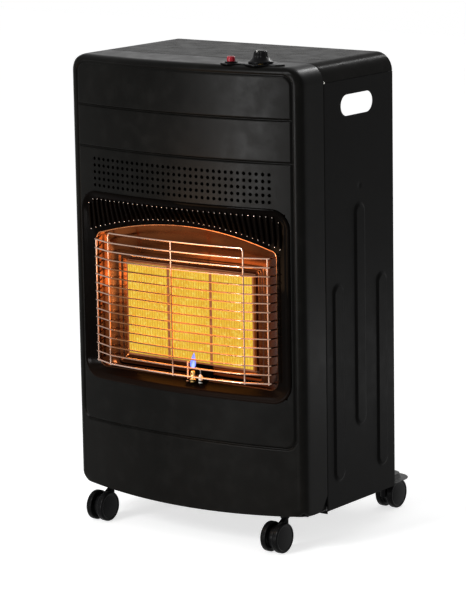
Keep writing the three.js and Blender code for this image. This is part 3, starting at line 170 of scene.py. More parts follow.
def unit(vectors):
    """Each vector divided by its own length."""
    return vectors / np.maximum(np.linalg.norm(vectors, axis=-1, keepdims=True), 1e-12)


def placed(points):
    """Millimetres from the seam as metres in the frame."""
    return (np.asarray(points, float).reshape(-1, 3) + (0, SEAM, 0)) * MM


def grid_faces(rows, columns, wrap_rows=False, wrap_columns=False):
    """Four-sided faces between neighbours of a grid numbered along its rows, closed on itself where asked."""
    r = np.arange(rows if wrap_rows else rows - 1)
    c = np.arange(columns if wrap_columns else columns - 1)
    low, left = np.meshgrid(r, c, indexing="ij")
    high, right = (low + 1) % rows, (left + 1) % columns
    quads = [low * columns + left, low * columns + right, high * columns + right, high * columns + left]
    return np.stack(quads, axis=-1).reshape(-1, 4)


def mesh_piece(name, points, faces, weld=0.002):
    """A mesh object from points and faces: unused points dropped, doubles closer than weld merged,
    and all its faces turned to look outwards."""
    faces = [list(map(int, face)) for face in faces]
    mesh = bpy.data.meshes.new(name)
    mesh.from_pydata(placed(points).tolist(), [], faces)
    clean = bmesh.new()
    clean.from_mesh(mesh)
    bmesh.ops.remove_doubles(clean, verts=clean.verts, dist=weld * MM)
    bmesh.ops.delete(clean, geom=[v for v in clean.verts if not v.link_faces], context="VERTS")
    bmesh.ops.recalc_face_normals(clean, faces=clean.faces)
    clean.to_mesh(mesh)
    clean.free()
    piece = bpy.data.objects.new(name, mesh)
    bpy.context.scene.collection.objects.link(piece)
    return piece


def facing(piece, x, y, z):
    """A sheet's faces turned so that, taken together, they look the given way."""
    out = sum((f.normal * f.area for f in piece.data.polygons), Vector())
    if out.dot(Vector((x, y, z))) < 0:
        piece.data.flip_normals()
    return piece


def settle(piece):
    """The piece's modifiers carried out on its mesh for good."""
    view = bpy.context.evaluated_depsgraph_get()
    done = bpy.data.meshes.new_from_object(piece.evaluated_get(view))
    old = piece.data
    piece.modifiers.clear()
    piece.data = done
    bpy.data.meshes.remove(old)
    return piece


def thicken(piece, thickness=SHEET):
    """A sheet's wall, grown inwards from its outer surface."""
    wall = piece.modifiers.new("wall", "SOLIDIFY")
    wall.thickness = thickness * MM
    wall.offset = -1
    wall.use_even_offset = True
    return settle(piece)


def round_edges(piece, width, segments=2, angle=40):
    """Every edge sharper than the angle rounded off."""
    bevel = piece.modifiers.new("edges", "BEVEL")
    bevel.width = width * MM
    bevel.segments = segments
    bevel.limit_method = "ANGLE"
    bevel.angle_limit = math.radians(angle)
    bevel.harden_normals = False
    return settle(piece)


def carve(piece, tool, operation="DIFFERENCE"):
    """The piece with a closed tool taken out of it, or joined to it."""
    step = piece.modifiers.new("carve", "BOOLEAN")
    step.operation = operation
    step.solver = "MANIFOLD"
    step.object = tool
    settle(piece)
    bpy.data.objects.remove(tool)
    return piece


def dress(piece, finish, body="cabinet", stands_for=(), sharp=35):
    """Finish, shading, the body the piece rides on, and the CAD nodes it stands for."""
    piece.data.materials.clear()
    piece.data.materials.append(finish)
    piece.data.shade_smooth()
    piece.data.set_sharp_from_angle(angle=math.radians(sharp))
    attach(piece, body)
    if stands_for:
        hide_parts(*stands_for)
    return piece


def turned(name, profile, centre, axis="z", sides=64, wave=None):
    """A profile of (radius, height) pairs turned about an axis through centre: each point of the grid is
    radius * (cos a, sin a) at its height. wave(a, radius, height) gives a factor on the radius."""
    profile = np.asarray(profile, float)
    angle = np.linspace(0, 2 * math.pi, sides, endpoint=False)
    radius, height = profile[:, 0][:, None], profile[:, 1][:, None]
    reach = radius * (1 if wave is None else wave(angle[None, :], radius, height))
    across, along = reach * np.cos(angle), reach * np.sin(angle)
    up = np.broadcast_to(height, across.shape)
    order = {"z": (across, along, up), "x": (up, across, along), "y": (along, up, across)}[axis]
    points = np.stack(order, axis=-1) + np.asarray(centre, float)
    return mesh_piece(name, points, grid_faces(len(profile), sides, wrap_columns=True))


def swept(path, radius, sides=12, closed=False, side_of=(0, 0, 1)):
    """Points and faces of a round tube: at each point of the path a circle in the plane of
    n = side_of x tangent and b = tangent x n. Open ends are drawn in to a point."""
    path = np.asarray(path, float)
    chords = np.roll(path, -1, 0) - np.roll(path, 1, 0) if closed else np.gradient(path, axis=0)
    along = unit(chords)
    n = unit(np.cross(np.asarray(side_of, float), along))
    b = np.cross(along, n)
    angle = np.linspace(0, 2 * math.pi, sides, endpoint=False)[None, :, None]
    rings = path[:, None] + radius * (np.cos(angle) * n[:, None] + np.sin(angle) * b[:, None])
    if not closed:
        first, last = (np.repeat(end[:, None], sides, 1) for end in (path[:1], path[-1:]))
        rings = np.concatenate([first, rings, last])
    return rings.reshape(-1, 3), grid_faces(len(rings), sides, wrap_rows=closed, wrap_columns=True)


def apart(path, least=0.05):
    """A path without the points that stand closer than least to the one before."""
    return path[np.concatenate([[True], np.linalg.norm(np.diff(path, axis=0), axis=1) > least])]


def several(parts):
    """Several sets of points and faces as one."""
    points, faces, count = [], [], 0
    for some_points, some_faces in parts:
        points.append(some_points)
        faces.append(np.asarray(some_faces) + count)
        count += len(some_points)
    return np.concatenate(points), np.concatenate(faces)


def bent(corners, radius, steps=8):
    """A path through corners with each one rounded by the parabola
    (1-t)^2 start + 2t(1-t) corner + t^2 end, its ends at radius from the corner."""
    corners = np.asarray(corners, float)
    before, at, after = corners[:-2], corners[1:-1], corners[2:]
    start = at + unit(before - at) * np.minimum(radius, 0.48 * np.linalg.norm(before - at, axis=1))[:, None]
    end = at + unit(after - at) * np.minimum(radius, 0.48 * np.linalg.norm(after - at, axis=1))[:, None]
    t = np.linspace(0, 1, steps)[None, :, None]
    arcs = (1 - t) ** 2 * start[:, None] + 2 * t * (1 - t) * at[:, None] + t**2 * end[:, None]
    return np.concatenate([corners[:1], arcs.reshape(-1, 3), corners[-1:]])


def prism(name, outline, low, high, axis="z"):
    """A flat outline carried from low to high along an axis, closed by a face at each end."""
    outline = np.asarray(outline, float)
    count = len(outline)
    lift = np.repeat([low, high], count)
    first, second = np.tile(outline[:, 0], 2), np.tile(outline[:, 1], 2)
    order = {"z": (first, second, lift), "y": (first, lift, second), "x": (lift, first, second)}[axis]
    points = np.stack(order, axis=-1)
    sides = [[i, (i + 1) % count, count + (i + 1) % count, count + i] for i in range(count)]
    ends = [list(range(count))[::-1], list(range(count, 2 * count))]
    return mesh_piece(name, points, sides + ends)


def side_prism(name, outline, side, near, far):
    """An outline seen from one side, carried across between two distances from the middle."""
    return prism(name, outline, *sorted((side * near, side * far)), "x")


def circle(x, y, radius, count=48):
    """Points of a circle."""
    angle = np.linspace(0, 2 * math.pi, count, endpoint=False)
    return np.stack([x + radius * np.cos(angle), y + radius * np.sin(angle)], axis=-1)


def slot_outline(x, y, length, height, count=20):
    """A slot with round ends, its length along the first axis."""
    radius = height / 2
    right = np.linspace(-math.pi / 2, math.pi / 2, count)
    reach = length / 2 - radius
    one = np.stack([x + reach + radius * np.cos(right), y + radius * np.sin(right)], axis=-1)
    other = np.stack([x - reach - radius * np.cos(right), y - radius * np.sin(right)], axis=-1)
    return np.concatenate([one, other])


# ---------------------------------------------------------------- camera


def photographer():
    """The photograph's camera: 36.3 degrees round to the right, 10.9 up, rolled by 0.9, with a long lens
    4.5 m away from a point in the middle of the cabinet."""
    azimuth, rise, roll, distance = 36.2714, 10.9447, -0.8868, 4.4826
    target = np.array([0.0, 0.100 + SEAM * MM, 0.350])
    a, e, r = (math.radians(v) for v in (azimuth, rise, roll))
    back = np.array([math.sin(a) * math.cos(e), -math.cos(a) * math.cos(e), math.sin(e)])
    right = np.array([math.cos(a), math.sin(a), 0.0])
    up = np.cross(back, right)
    turned_right = math.cos(r) * right + math.sin(r) * up
    turned_up = np.cross(back, turned_right)
    lens = bpy.data.cameras.new("camera")
    lens.sensor_fit = "AUTO"
    lens.sensor_width = 36.0
    lens.lens = 177.896
    lens.shift_x, lens.shift_y = -0.026852, -0.020187
    holder = bpy.data.objects.new("camera", lens)
    bpy.context.scene.collection.objects.link(holder)
    place = target + distance * back
    axes = np.stack([turned_right, turned_up, back], axis=1)
    holder.matrix_world = Matrix([[*axes[i], place[i]] for i in range(3)] + [[0, 0, 0, 1]])
    bpy.context.scene.camera = holder


photographer()

# ---------------------------------------------------------------- finishes


class Finish:
    """A material's node tree, and the few kinds of node that these finishes need."""

    def __init__(self, name, **values):
        self.material = bpy.data.materials.new(name)
        self.material.use_nodes = True
        self.tree = self.material.node_tree
        self.shader = self.tree.nodes["Principled BSDF"]
        self.set(self.shader, values)
        self.where = self.node("ShaderNodeTexCoord").outputs["Object"]

    def node(self, kind, settings=None, **values):
        made = self.tree.nodes.new(kind)
        for key, value in (settings or {}).items():
            setattr(made, key, value)
        self.set(made, values)
        return made

    def feed(self, socket, value):
        """A socket linked to a field, or set to a number, a vector or a colour."""
        if isinstance(value, bpy.types.NodeSocket):
            self.tree.links.new(value, socket)
        else:
            socket.default_value = (*value, 1) if socket.type == "RGBA" else value

    def set(self, node, values):
        for key, value in values.items():
            self.feed(node.inputs[key.replace("_", " ")], value)

    def math(self, operation, first, second=0.0):
        made = self.node("ShaderNodeMath", {"operation": operation})
        self.feed(made.inputs[0], first)
        self.feed(made.inputs[1], second)
        return made.outputs[0]

    def along(self, axis):
        """Where a point stands along one axis, in metres."""
        return self.node("ShaderNodeSeparateXYZ", Vector=self.where).outputs[axis]

    def noise(self, scale, detail=3.0, stretch=(1, 1, 1), rough=0.55):
        """Noise with so many lumps to the metre, drawn out where stretch is under 1."""
        mapping = self.node("ShaderNodeMapping", Vector=self.where, Scale=stretch)
        field = self.node(
            "ShaderNodeTexNoise", Vector=mapping.outputs[0], Scale=scale, Detail=detail, Roughness=rough,
        )
        return field.outputs["Fac"]

    def ramp(self, field, low, high, start, end):
        """A field carried from start to end as it goes from low to high: numbers, or colours."""
        if isinstance(start, tuple):
            made = self.node("ShaderNodeValToRGB", Fac=field)
            for stop, place, colour in zip(made.color_ramp.elements, (low, high), (start, end)):
                stop.position = place
                stop.color = (*colour, 1)
            return made.outputs["Color"]
        names = ("From_Min", "From_Max", "To_Min", "To_Max")
        made = self.node("ShaderNodeMapRange", Value=field, **dict(zip(names, (low, high, start, end))))
        return made.outputs["Result"]

    def blend(self, share, first, second):
        """One colour giving way to another."""
        made = self.node("ShaderNodeMix", {"data_type": "RGBA"})
        for index, value in ((0, share), (6, first), (7, second)):
            self.feed(made.inputs[index], value)
        return made.outputs[2]

    def relief(self, field, depth, strength=0.5):
        """Bump from a field, depth in millimetres."""
        made = self.node("ShaderNodeBump", Height=field, Distance=depth * MM, Strength=strength)
        self.set(self.shader, {"Normal": made.outputs[0]})


def painted(name, dark, light, rough, depth=0.05, grain=900.0, dust=0.0, shine=0.2):
    """Stoved paint on sheet steel: a fine pebbled skin, slow changes of tone, and thin dust in patches."""
    paint = Finish(name, Metallic=0.0, Specular_IOR_Level=shine)
    slow = paint.noise(7.0, 2.0)
    patch = paint.noise(38.0, 4.0)
    tone = paint.ramp(slow, 0.3, 0.7, dark, light)
    worn = paint.ramp(patch, 0.5, 0.8, 0.0, 0.35 + dust)
    base = paint.blend(worn, tone, tuple(min(1.0, 1.5 * c + 0.004) for c in light))
    pebble = paint.noise(grain, 2.0, rough=0.5)
    gloss = paint.ramp(patch, 0.3, 0.7, rough - 0.05, rough + 0.06)
    paint.set(paint.shader, {"Base_Color": base, "Roughness": gloss})
    paint.relief(pebble, depth, 0.35)
    return paint.material


def enamelled():
    """Black vitreous enamel: near-mirror gloss over a faint orange-peel, dulled by heat towards the sill, where its
    colour turns warm brown as a painted reflection of the burners' glow.
    """
    glaze = Finish("surround_enamel", Specular_IOR_Level=0.012)
    height = glaze.along("Z")
    patch = glaze.noise(20.0, 3.0)
    peel = glaze.noise(260.0, 2.0)
    gloss = glaze.ramp(patch, 0.3, 0.7, 0.06, 0.11)
    dulled = glaze.ramp(height, 0.228, 0.252, 0.30, 0.0)
    # painted reflection: the base colour turns warm brown towards the sill, standing for the burners' glow that the
    # sill reflects
    sill_glow_paint = glaze.ramp(height, 0.222, 0.250, 0.75, 0.0)
    black = glaze.ramp(patch, 0.3, 0.7, (0.0008, 0.0005, 0.0003), (0.0018, 0.0010, 0.0006))
    glaze.set(glaze.shader, {
        "Base_Color": glaze.blend(sill_glow_paint, black, (0.0080, 0.0042, 0.0028)),
        "Roughness": glaze.math("ADD", gloss, dulled),
    })
    glaze.relief(peel, 0.01, 0.3)
    return glaze.material


def warm_trim():
    """Rolled edge in warm-tinted metal: straw-bright along the head, a painted highlight of the burners' glow, going
    to near black at the sill as painted shade.
    """
    rim = Finish("warm_trim", Metallic=1.0)
    bright = rim.ramp(rim.noise(30.0, 3.0), 0.3, 0.7, (0.36, 0.130, 0.048), (0.54, 0.210, 0.085))
    # painted shade: the colour falls from the straw-bright highlight along the head to near black below it
    painted_trim_shade = rim.ramp(rim.along("Z"), 0.405, 0.446, 0.96, 0.0)
    rim.set(rim.shader, {
        "Base_Color": rim.blend(painted_trim_shade, bright, (0.014, 0.006, 0.003)),
        "Roughness": rim.ramp(rim.noise(200.0, 2.0), 0.3, 0.7, 0.14, 0.26),
    })
    rim.relief(rim.noise(240.0, 2.0), 0.01, 0.25)
    return rim.material


def guard_wire():
    """Plated wire, tinted salmon partly as a painted reflection of the burners' glow: pale at its ends, and painted
    dark brown where it crosses the plaques, as painted shade on the wires seen against the glow.
    """
    wire = Finish("guard_chrome", Metallic=1.0)
    side, height = wire.math("ABSOLUTE", wire.along("X")), wire.along("Z")
    # painted shade: these masks keep the wires pale away from the plaques and turn them dark brown in front of them
    lit_low = wire.ramp(height, 0.256, 0.272, 1.0, 0.0)
    lit_high = wire.ramp(height, 0.398, 0.420, 0.0, 1.0)
    lit_side = wire.ramp(side, 0.112, 0.126, 0.0, 0.55)
    lit_share = wire.math("MAXIMUM", wire.math("MAXIMUM", lit_low, lit_high), lit_side)
    cloud = wire.noise(14.0, 3.0)
    pale = wire.ramp(cloud, 0.3, 0.72, (0.36, 0.225, 0.165), (0.56, 0.390, 0.310))
    painted_shade_brown = wire.ramp(cloud, 0.3, 0.72, (0.17, 0.066, 0.026), (0.27, 0.120, 0.052))
    wire.set(wire.shader, {
        "Base_Color": wire.blend(lit_share, painted_shade_brown, pale),
        "Roughness": wire.ramp(wire.noise(200.0, 4.0), 0.25, 0.75, 0.10, 0.22),
    })
    wire.relief(wire.noise(220.0, 2.0), 0.01, 0.25)
    return wire.material


def mirror_pan():
    """Reflector: drawn bright steel, heat-tinted warm, partly a painted reflection of the burners' glow; painted
    shade darkens it low down, towards the right-hand end and in a band that follows the head's arch, z + 0.918 x^2
    in metres."""
    pan = Finish("reflector_steel", Metallic=1.0)
    x, z = pan.along("X"), pan.along("Z")
    # painted shade: darker low down, towards the right-hand end and in the band under the head's arch
    low = pan.ramp(z, 0.250, 0.340, 0.88, 0.0)
    right = pan.ramp(x, -0.060, 0.165, 0.0, 0.72)
    rise = pan.math("ADD", z, pan.math("MULTIPLY", pan.math("MULTIPLY", x, x), 0.918))
    band_foot, band_head = pan.ramp(rise, 0.398, 0.412, 0.0, 0.58), pan.ramp(rise, 0.444, 0.462, 1.0, 0.0)
    painted_pan_shade = pan.math("MAXIMUM", low, pan.math("MULTIPLY", band_foot, band_head))
    cloud = pan.noise(14.0, 3.0)
    grain = pan.noise(260.0, 4.0, (0.06, 1, 1), 0.6)
    tint = pan.ramp(cloud, 0.3, 0.72, (0.080, 0.021, 0.005), (0.165, 0.047, 0.012))
    pan.set(pan.shader, {
        "Base_Color": pan.blend(pan.math("MAXIMUM", painted_pan_shade, right), tint, (0.012, 0.003, 0.0012)),
        "Roughness": pan.ramp(grain, 0.25, 0.75, 0.08, 0.22),
    })
    pan.relief(grain, 0.02, 0.25)
    return pan.material


def metal(name, dark, light, rough, scale, streak=(1, 1, 1), depth=0.01):
    """Bare or plated metal: brushed or drawn grain along one way, and a cloudy change of tone."""
    steel = Finish(name, Metallic=1.0)
    cloud = steel.noise(14.0, 3.0)
    grain = steel.noise(scale, 4.0, streak, 0.6)
    tone = steel.ramp(cloud, 0.3, 0.72, dark, light)
    gloss = steel.ramp(grain, 0.25, 0.75, max(rough - 0.06, 0.02), rough + 0.08)
    steel.set(steel.shader, {"Base_Color": tone, "Roughness": gloss})
    steel.relief(grain, depth, 0.25)
    return steel.material


def moulded(name, dark, light, rough, shine=0.5):
    """Moulded plastic or glazed clay: a fine spark-eroded grain and faint flow marks."""
    plastic = Finish(name, Specular_IOR_Level=shine)
    flow = plastic.noise(25.0, 2.0)
    spark = plastic.noise(1500.0, 2.0)
    tone = plastic.ramp(flow, 0.3, 0.7, dark, light)
    gloss = plastic.ramp(spark, 0.3, 0.7, rough - 0.05, rough + 0.07)
    plastic.set(plastic.shader, {"Base_Color": tone, "Roughness": gloss})
    plastic.relief(spark, 0.03, 0.3)
    return plastic.material


def glowing_clay():
    """Fired burner plaque: rows of fine holes in golden clay that gives off its own light. Upright rows
    come and go as a cosine over 4.6 mm, holes along them over 3.1 mm, the heat in slow patches, and
    single specks glow brighter."""
    clay = Finish(
        "glowing_clay", Base_Color=(0.05, 0.022, 0.004), Roughness=0.9, Specular_IOR_Level=0.04,
        Emission_Strength=0.95,
    )
    row_pitch, hole_pitch = 4.6 * MM, 3.1 * MM
    row = clay.math("COSINE", clay.math("MULTIPLY", clay.along("X"), 2 * math.pi / row_pitch))
    line = clay.math("COSINE", clay.math("MULTIPLY", clay.along("Z"), 2 * math.pi / hole_pitch))
    holes = clay.math("MULTIPLY", row, line)
    heat = clay.noise(26.0, 3.0)
    speck = clay.noise(330.0, 3.0, (1, 1, 0.6))
    glow = clay.ramp(heat, 0.3, 0.72, (0.80, 0.44, 0.030), (0.97, 0.68, 0.070))
    glow = clay.blend(clay.ramp(row, -0.2, 0.9, 0.0, 0.55), glow, (0.54, 0.22, 0.014))
    glow = clay.blend(clay.ramp(holes, 0.25, 0.8, 0.0, 0.45), glow, (0.50, 0.17, 0.006))
    glow = clay.blend(clay.ramp(speck, 0.52, 0.72, 0.0, 0.75), glow, (1.0, 0.86, 0.19))
    clay.set(clay.shader, {"Emission_Color": glow})
    clay.relief(clay.math("SUBTRACT", 1.0, holes), 0.4, 0.5)
    return clay.material


def shade_black_steel():
    """Galvanised sheet whose side towards the burners is painted black to 0.9 mm behind its front, as painted shade
    for the dark seen through the vents; the rest is bare galvanised steel.
    """
    sheet = Finish("shade_black_steel", Specular_IOR_Level=0.0)
    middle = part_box("partition")[0].y + 0.9 * MM
    # painted shade: this share is 0 on the black front face and 1 on the bare galvanised back
    clean = sheet.ramp(sheet.along("Y"), middle - 0.05 * MM, middle + 0.05 * MM, 0.0, 1.0)
    spangle = sheet.noise(60.0, 2.0)
    bare = sheet.ramp(spangle, 0.3, 0.7, (0.20, 0.197, 0.19), (0.25, 0.247, 0.24))
    sheet.set(sheet.shader, {
        "Metallic": clean,
        "Base_Color": sheet.blend(clean, (0.0014, 0.0011, 0.0009), bare),
        "Roughness": sheet.ramp(spangle, 0.3, 0.7, 0.40, 0.55),
    })
    sheet.relief(spangle, 0.004, 0.25)
    return sheet.material


def hot_iron():
    """Burner casting: scaled grey-brown iron, with a dull red heat that fades over 8 mm behind the plaques."""
    iron = Finish("hot_iron", Metallic=0.6, Specular_IOR_Level=0.3)
    scale = iron.noise(90.0, 4.0)
    front, fading = (SEAM - 50.0) * MM, 8 * MM
    heat = iron.ramp(iron.along("Y"), front, front + fading, 0.55, 0.0)
    iron.set(iron.shader, {
        "Base_Color": iron.ramp(scale, 0.3, 0.7, (0.035, 0.018, 0.010), (0.075, 0.042, 0.026)),
        "Roughness": iron.ramp(scale, 0.3, 0.7, 0.45, 0.65),
        "Emission_Color": iron.ramp(scale, 0.3, 0.7, (0.40, 0.075, 0.008), (0.62, 0.16, 0.016)),
        "Emission_Strength": heat,
    })
    iron.relief(scale, 0.1, 0.3)
    return iron.material


def flame(name, colour, strength):
    """Burning gas: light of its own that thins out towards its edge, over clear air."""
    gas = Finish(name, Base_Color=(0.0, 0.0, 0.0), Roughness=1.0, Emission_Strength=strength)
    tongue = gas.noise(160.0, 2.0, (1, 1, 0.4))
    lit = gas.ramp(tongue, 0.3, 0.75, colour, tuple(min(1.0, c * 1.5 + 0.15) for c in colour))
    rim = gas.node("ShaderNodeLayerWeight", Blend=0.35).outputs["Facing"]
    gas.set(gas.shader, {"Emission_Color": lit, "Alpha": gas.ramp(rim, 0.1, 0.95, 0.85, 0.1)})
    return gas.material


COWL_PAINT = painted("cowl_paint", (0.0018, 0.0017, 0.0014), (0.0034, 0.0032, 0.0027), 0.33, 0.04, shine=0.036)
CABINET_PAINT = painted("cabinet_paint", (0.0019, 0.0018, 0.0017), (0.0034, 0.0033, 0.0031), 0.42, shine=0.026)
COVER_PAINT = painted("cover_paint", (0.0155, 0.0151, 0.0143), (0.0200, 0.0195, 0.0186), 0.24, 0.03, shine=0.003)
TRAY_PAINT = painted("tray_paint", (0.011, 0.011, 0.010), (0.020, 0.019, 0.018), 0.42, dust=0.1, shine=0.12)
# painted shade: a near-black matte iron for the heat deflector seen through the vents; the pilot bracket takes the
# same finish
DARK_IRON = painted("shade_black_iron", (0.0012, 0.0010, 0.0009), (0.0030, 0.0025, 0.0021), 0.85, 0.1, 120.0, shine=0.0)
ENAMEL = enamelled()
CHROME = guard_wire()
REFLECTOR = mirror_pan()
TRIM = warm_trim()
# painted highlight: bright metal for the small ellipsoids at the ribs' ends, standing for the enamel's glints
GLINT_METAL = metal("painted_glint_metal", (0.30, 0.26, 0.23), (0.52, 0.47, 0.43), 0.15, 200.0)
STEEL = metal("plain_steel", (0.16, 0.155, 0.15), (0.24, 0.235, 0.225), 0.45, 140.0, streak=(1, 1, 0.1))
ZINC = metal("zinc_steel", (0.46, 0.45, 0.42), (0.62, 0.60, 0.55), 0.32, 120.0)
CAST = metal("cast_aluminium", (0.30, 0.30, 0.30), (0.42, 0.42, 0.41), 0.55, 500.0, depth=0.08)
BRASS = metal("gas_brass", (0.55, 0.36, 0.12), (0.70, 0.48, 0.18), 0.30, 150.0)
COPPER = metal("gas_copper", (0.55, 0.24, 0.12), (0.72, 0.34, 0.18), 0.30, 150.0)
CLAY = glowing_clay()
PALE_MARK = moulded("pale_mark", (0.30, 0.30, 0.29), (0.42, 0.42, 0.40), 0.5)
PORCELAIN = moulded("white_porcelain", (0.70, 0.67, 0.60), (0.82, 0.79, 0.72), 0.25)
BLACK_PLASTIC = moulded("black_plastic", (0.0016, 0.0016, 0.0018), (0.0034, 0.0034, 0.0037), 0.30, shine=0.05)
RED_PLASTIC = moulded("red_plastic", (0.24, 0.003, 0.012), (0.34, 0.006, 0.018), 0.28, shine=0.2)
HOT_IRON = hot_iron()
BLUE_FLAME = flame("pilot_flame", (0.09, 0.16, 0.90), 1.6)
FLAME_HEART = flame("pilot_flame_heart", (0.62, 0.74, 1.0), 2.6)

SLOT_FINISHES = {
    "cowl_paint": COWL_PAINT, "cabinet_paint": CABINET_PAINT, "cover_paint": COVER_PAINT,
    "surround_enamel": ENAMEL, "guard_chrome": CHROME, "reflector_steel": REFLECTOR,
    "plain_steel": STEEL, "zinc_steel": ZINC, "cast_aluminium": CAST, "gas_brass": BRASS,
    "gas_copper": COPPER, "plaque_ceramic": CLAY, "white_porcelain": PORCELAIN,
    "black_plastic": BLACK_PLASTIC, "red_plastic": RED_PLASTIC,
}

# ---------------------------------------------------------------- front cowl


def bow(x):
    """Front of the cowl's face: y = -58 - 23 (1 - (x/198)^2)."""
    return -FACE_DEPTH - FACE_BOW * (1 - (np.asarray(x, float) / FACE_HALF) ** 2)


def drawn_in(height, radius):
    """How far a rounded top edge has come in at a height: r - sqrt(r^2 - (h - (top - r))^2)."""
    up = np.clip(np.asarray(height, float) - (TOP - radius), 0, radius)
    return radius - np.sqrt(radius**2 - up**2)


def groove(x, z):
    """Depth of the pressed lines: a cosine valley round a rounded rectangle and along two level lines."""
    middle, half = (LINE_HIGH + LINE_LOW) / 2, (LINE_HIGH - LINE_LOW) / 2
    qx = np.abs(x) - LINE_SIDE + LINE_CORNER
    qz = np.abs(z - middle) - half + LINE_CORNER
    outside = np.hypot(np.maximum(qx, 0), np.maximum(qz, 0)) + np.minimum(np.maximum(qx, qz), 0) - LINE_CORNER
    away = np.abs(outside)
    for level in CROSS_LINES:
        away = np.where(outside < 0, np.minimum(away, np.abs(z - level)), away)
    return LINE_DEPTH * 0.5 * (1 + np.cos(math.pi * np.clip(away / LINE_HALF_WIDTH, 0, 1)))


def cowl_stations():
    """Columns round the plan, from the right-hand back edge to the middle of the face: the side wall as
    depths, the corner as angles, and the face as shares of its reach."""
    wall = np.array([0, 8, 16, 24, 33, 40, 46]) / 46.0
    turn = np.linspace(0, math.pi / 2, 9)[1:]
    x = np.concatenate([
        np.arange(0, VENT_HALF_FIELD, 2.5), [VENT_HALF_FIELD, 168, 171, 174, 177],
        np.arange(179, 191, 1.0), np.arange(191.5, 198, 0.5),
    ])
    return wall, turn, x[::-1] / FACE_HALF


def cowl_heights():
    """Rows up the cowl: shares of the way up from the hem to HEM_TOP, then heights, closer at each line."""
    shares = np.array([0, 0.02, 0.045, 0.08, 0.12, 0.17, 0.23, 0.32, 0.44, 0.58, 0.72, 0.86, 1.0])
    lowest, lower, upper = (np.arange(z - 3.5, z + 3.6, 0.5) for z in (LINE_LOW, *CROSS_LINES))
    heights = np.concatenate([
        np.arange(108, 152, 8.0), lowest, np.arange(160.5, 176, 1.5), np.linspace(182, CUT_LOW, 6),
        np.linspace(241, CUT_HIGH, 24), [506.0], np.arange(VENT_LOW, VENT_HIGH + 1, 2.5), [566.0], lower,
        np.linspace(584, 626, 6), upper, np.linspace(646, 678, 5), np.arange(681, 699, 1.0),
        TOP - BROW + BROW * np.sin(np.linspace(0, math.pi / 2, 15)),
    ])
    return shares, heights


def from_corner(x, y):
    """How far a place on the plan is from the lower front corner on its side."""
    return np.hypot(np.abs(x) - LOW_CORNER[0], y - LOW_CORNER[1])


def cowl_hem(x, y):
    """Bottom edge: it dips 7 in the middle of the face, rises over the last 15 of each side wall and is
    blunted at the lower front corners."""
    dip = HEM_DIP * np.clip(1 - (x / FACE_HALF) ** 2, 0, 1)
    heel = HEM_HEEL * np.clip(1 + y / 15, 0, 1)
    return HEM - dip + heel + 3.5 * np.exp(-((from_corner(x, y) / 7) ** 2))


def tucked_corner(x, y, above):
    """Lower front corners, drawn in towards their own centre over the lowest 10 by
    0.62 (r - sqrt(r^2 - (r - h)^2)), fading as exp(-(d/12)^2) away from the corner."""
    up = TUCK_RADIUS - np.clip(above, 0, TUCK_RADIUS)
    fade = np.exp(-((from_corner(x, y) / 12) ** 2))
    draw = 0.62 * (TUCK_RADIUS - np.sqrt(TUCK_RADIUS**2 - up**2)) * fade
    inward = unit(np.stack([(np.abs(x) - FACE_HALF) * np.sign(x), y + FACE_DEPTH - CORNER], -1) + 1e-9)
    return x - draw * inward[..., 0], y - draw * inward[..., 1]


def cowl_section(height, inset=0.0):
    """Plan of the cowl at each height, as x and y by row and column."""
    wall, turn, face = cowl_stations()
    height = np.asarray(height, float)[:, None]
    brow = drawn_in(height, BROW) + inset
    reach = FACE_HALF - drawn_in(height, SHOULDER) - inset
    corner_y = bow(reach) + brow + CORNER
    wall_x = np.broadcast_to(reach + CORNER, (len(height), len(wall)))
    face_x = reach * face[None]
    x = np.concatenate([wall_x, reach + CORNER * np.cos(turn)[None], face_x[:, 1:]], axis=1)
    face_y = bow(face_x) + brow
    y = np.concatenate([corner_y * wall[None], corner_y - CORNER * np.sin(turn)[None], face_y[:, 1:]], axis=1)
    return np.concatenate([x, -x[:, -2::-1]], axis=1), np.concatenate([y, y[:, -2::-1]], axis=1)


def vent_cells():
    """The vent field: each 10 mm square of the face is sixteen spokes from its rim in to a round hole."""
    half = VENT_PITCH / 2
    across = np.arange(half - VENT_HALF_FIELD, VENT_HALF_FIELD, VENT_PITCH)
    up = np.arange(VENT_LOW + half, VENT_HIGH, VENT_PITCH)
    x0, z0 = (grid.ravel()[:, None, None] for grid in np.meshgrid(across, up, indexing="ij"))
    step = half * np.array([1, 1, 1, 0.5, 0, -0.5, -1, -1, -1, -1, -1, -0.5, 0, 0.5, 1, 1])
    angle = np.arange(16) * math.pi / 8
    ring = VENT_RADIUS * np.stack([np.cos(angle), np.sin(angle)])
    rim = np.stack([step, np.roll(step, 4)])
    rings = np.stack([rim, 0.35 * rim + 0.65 * ring * 1.35, ring * 1.12, ring])
    x = x0 + rings[:, 0][None]
    z = z0 + rings[:, 1][None]
    sink = np.array([0, 0, 0, 0.25])[None, :, None]
    points = np.stack([x, bow(x) + sink, z], axis=-1)
    one = grid_faces(len(rings), len(angle), wrap_columns=True)
    every = one[None] + rings[:, 0].size * np.arange(len(points))[:, None, None]
    return points.reshape(-1, 3), every.reshape(-1, 4)


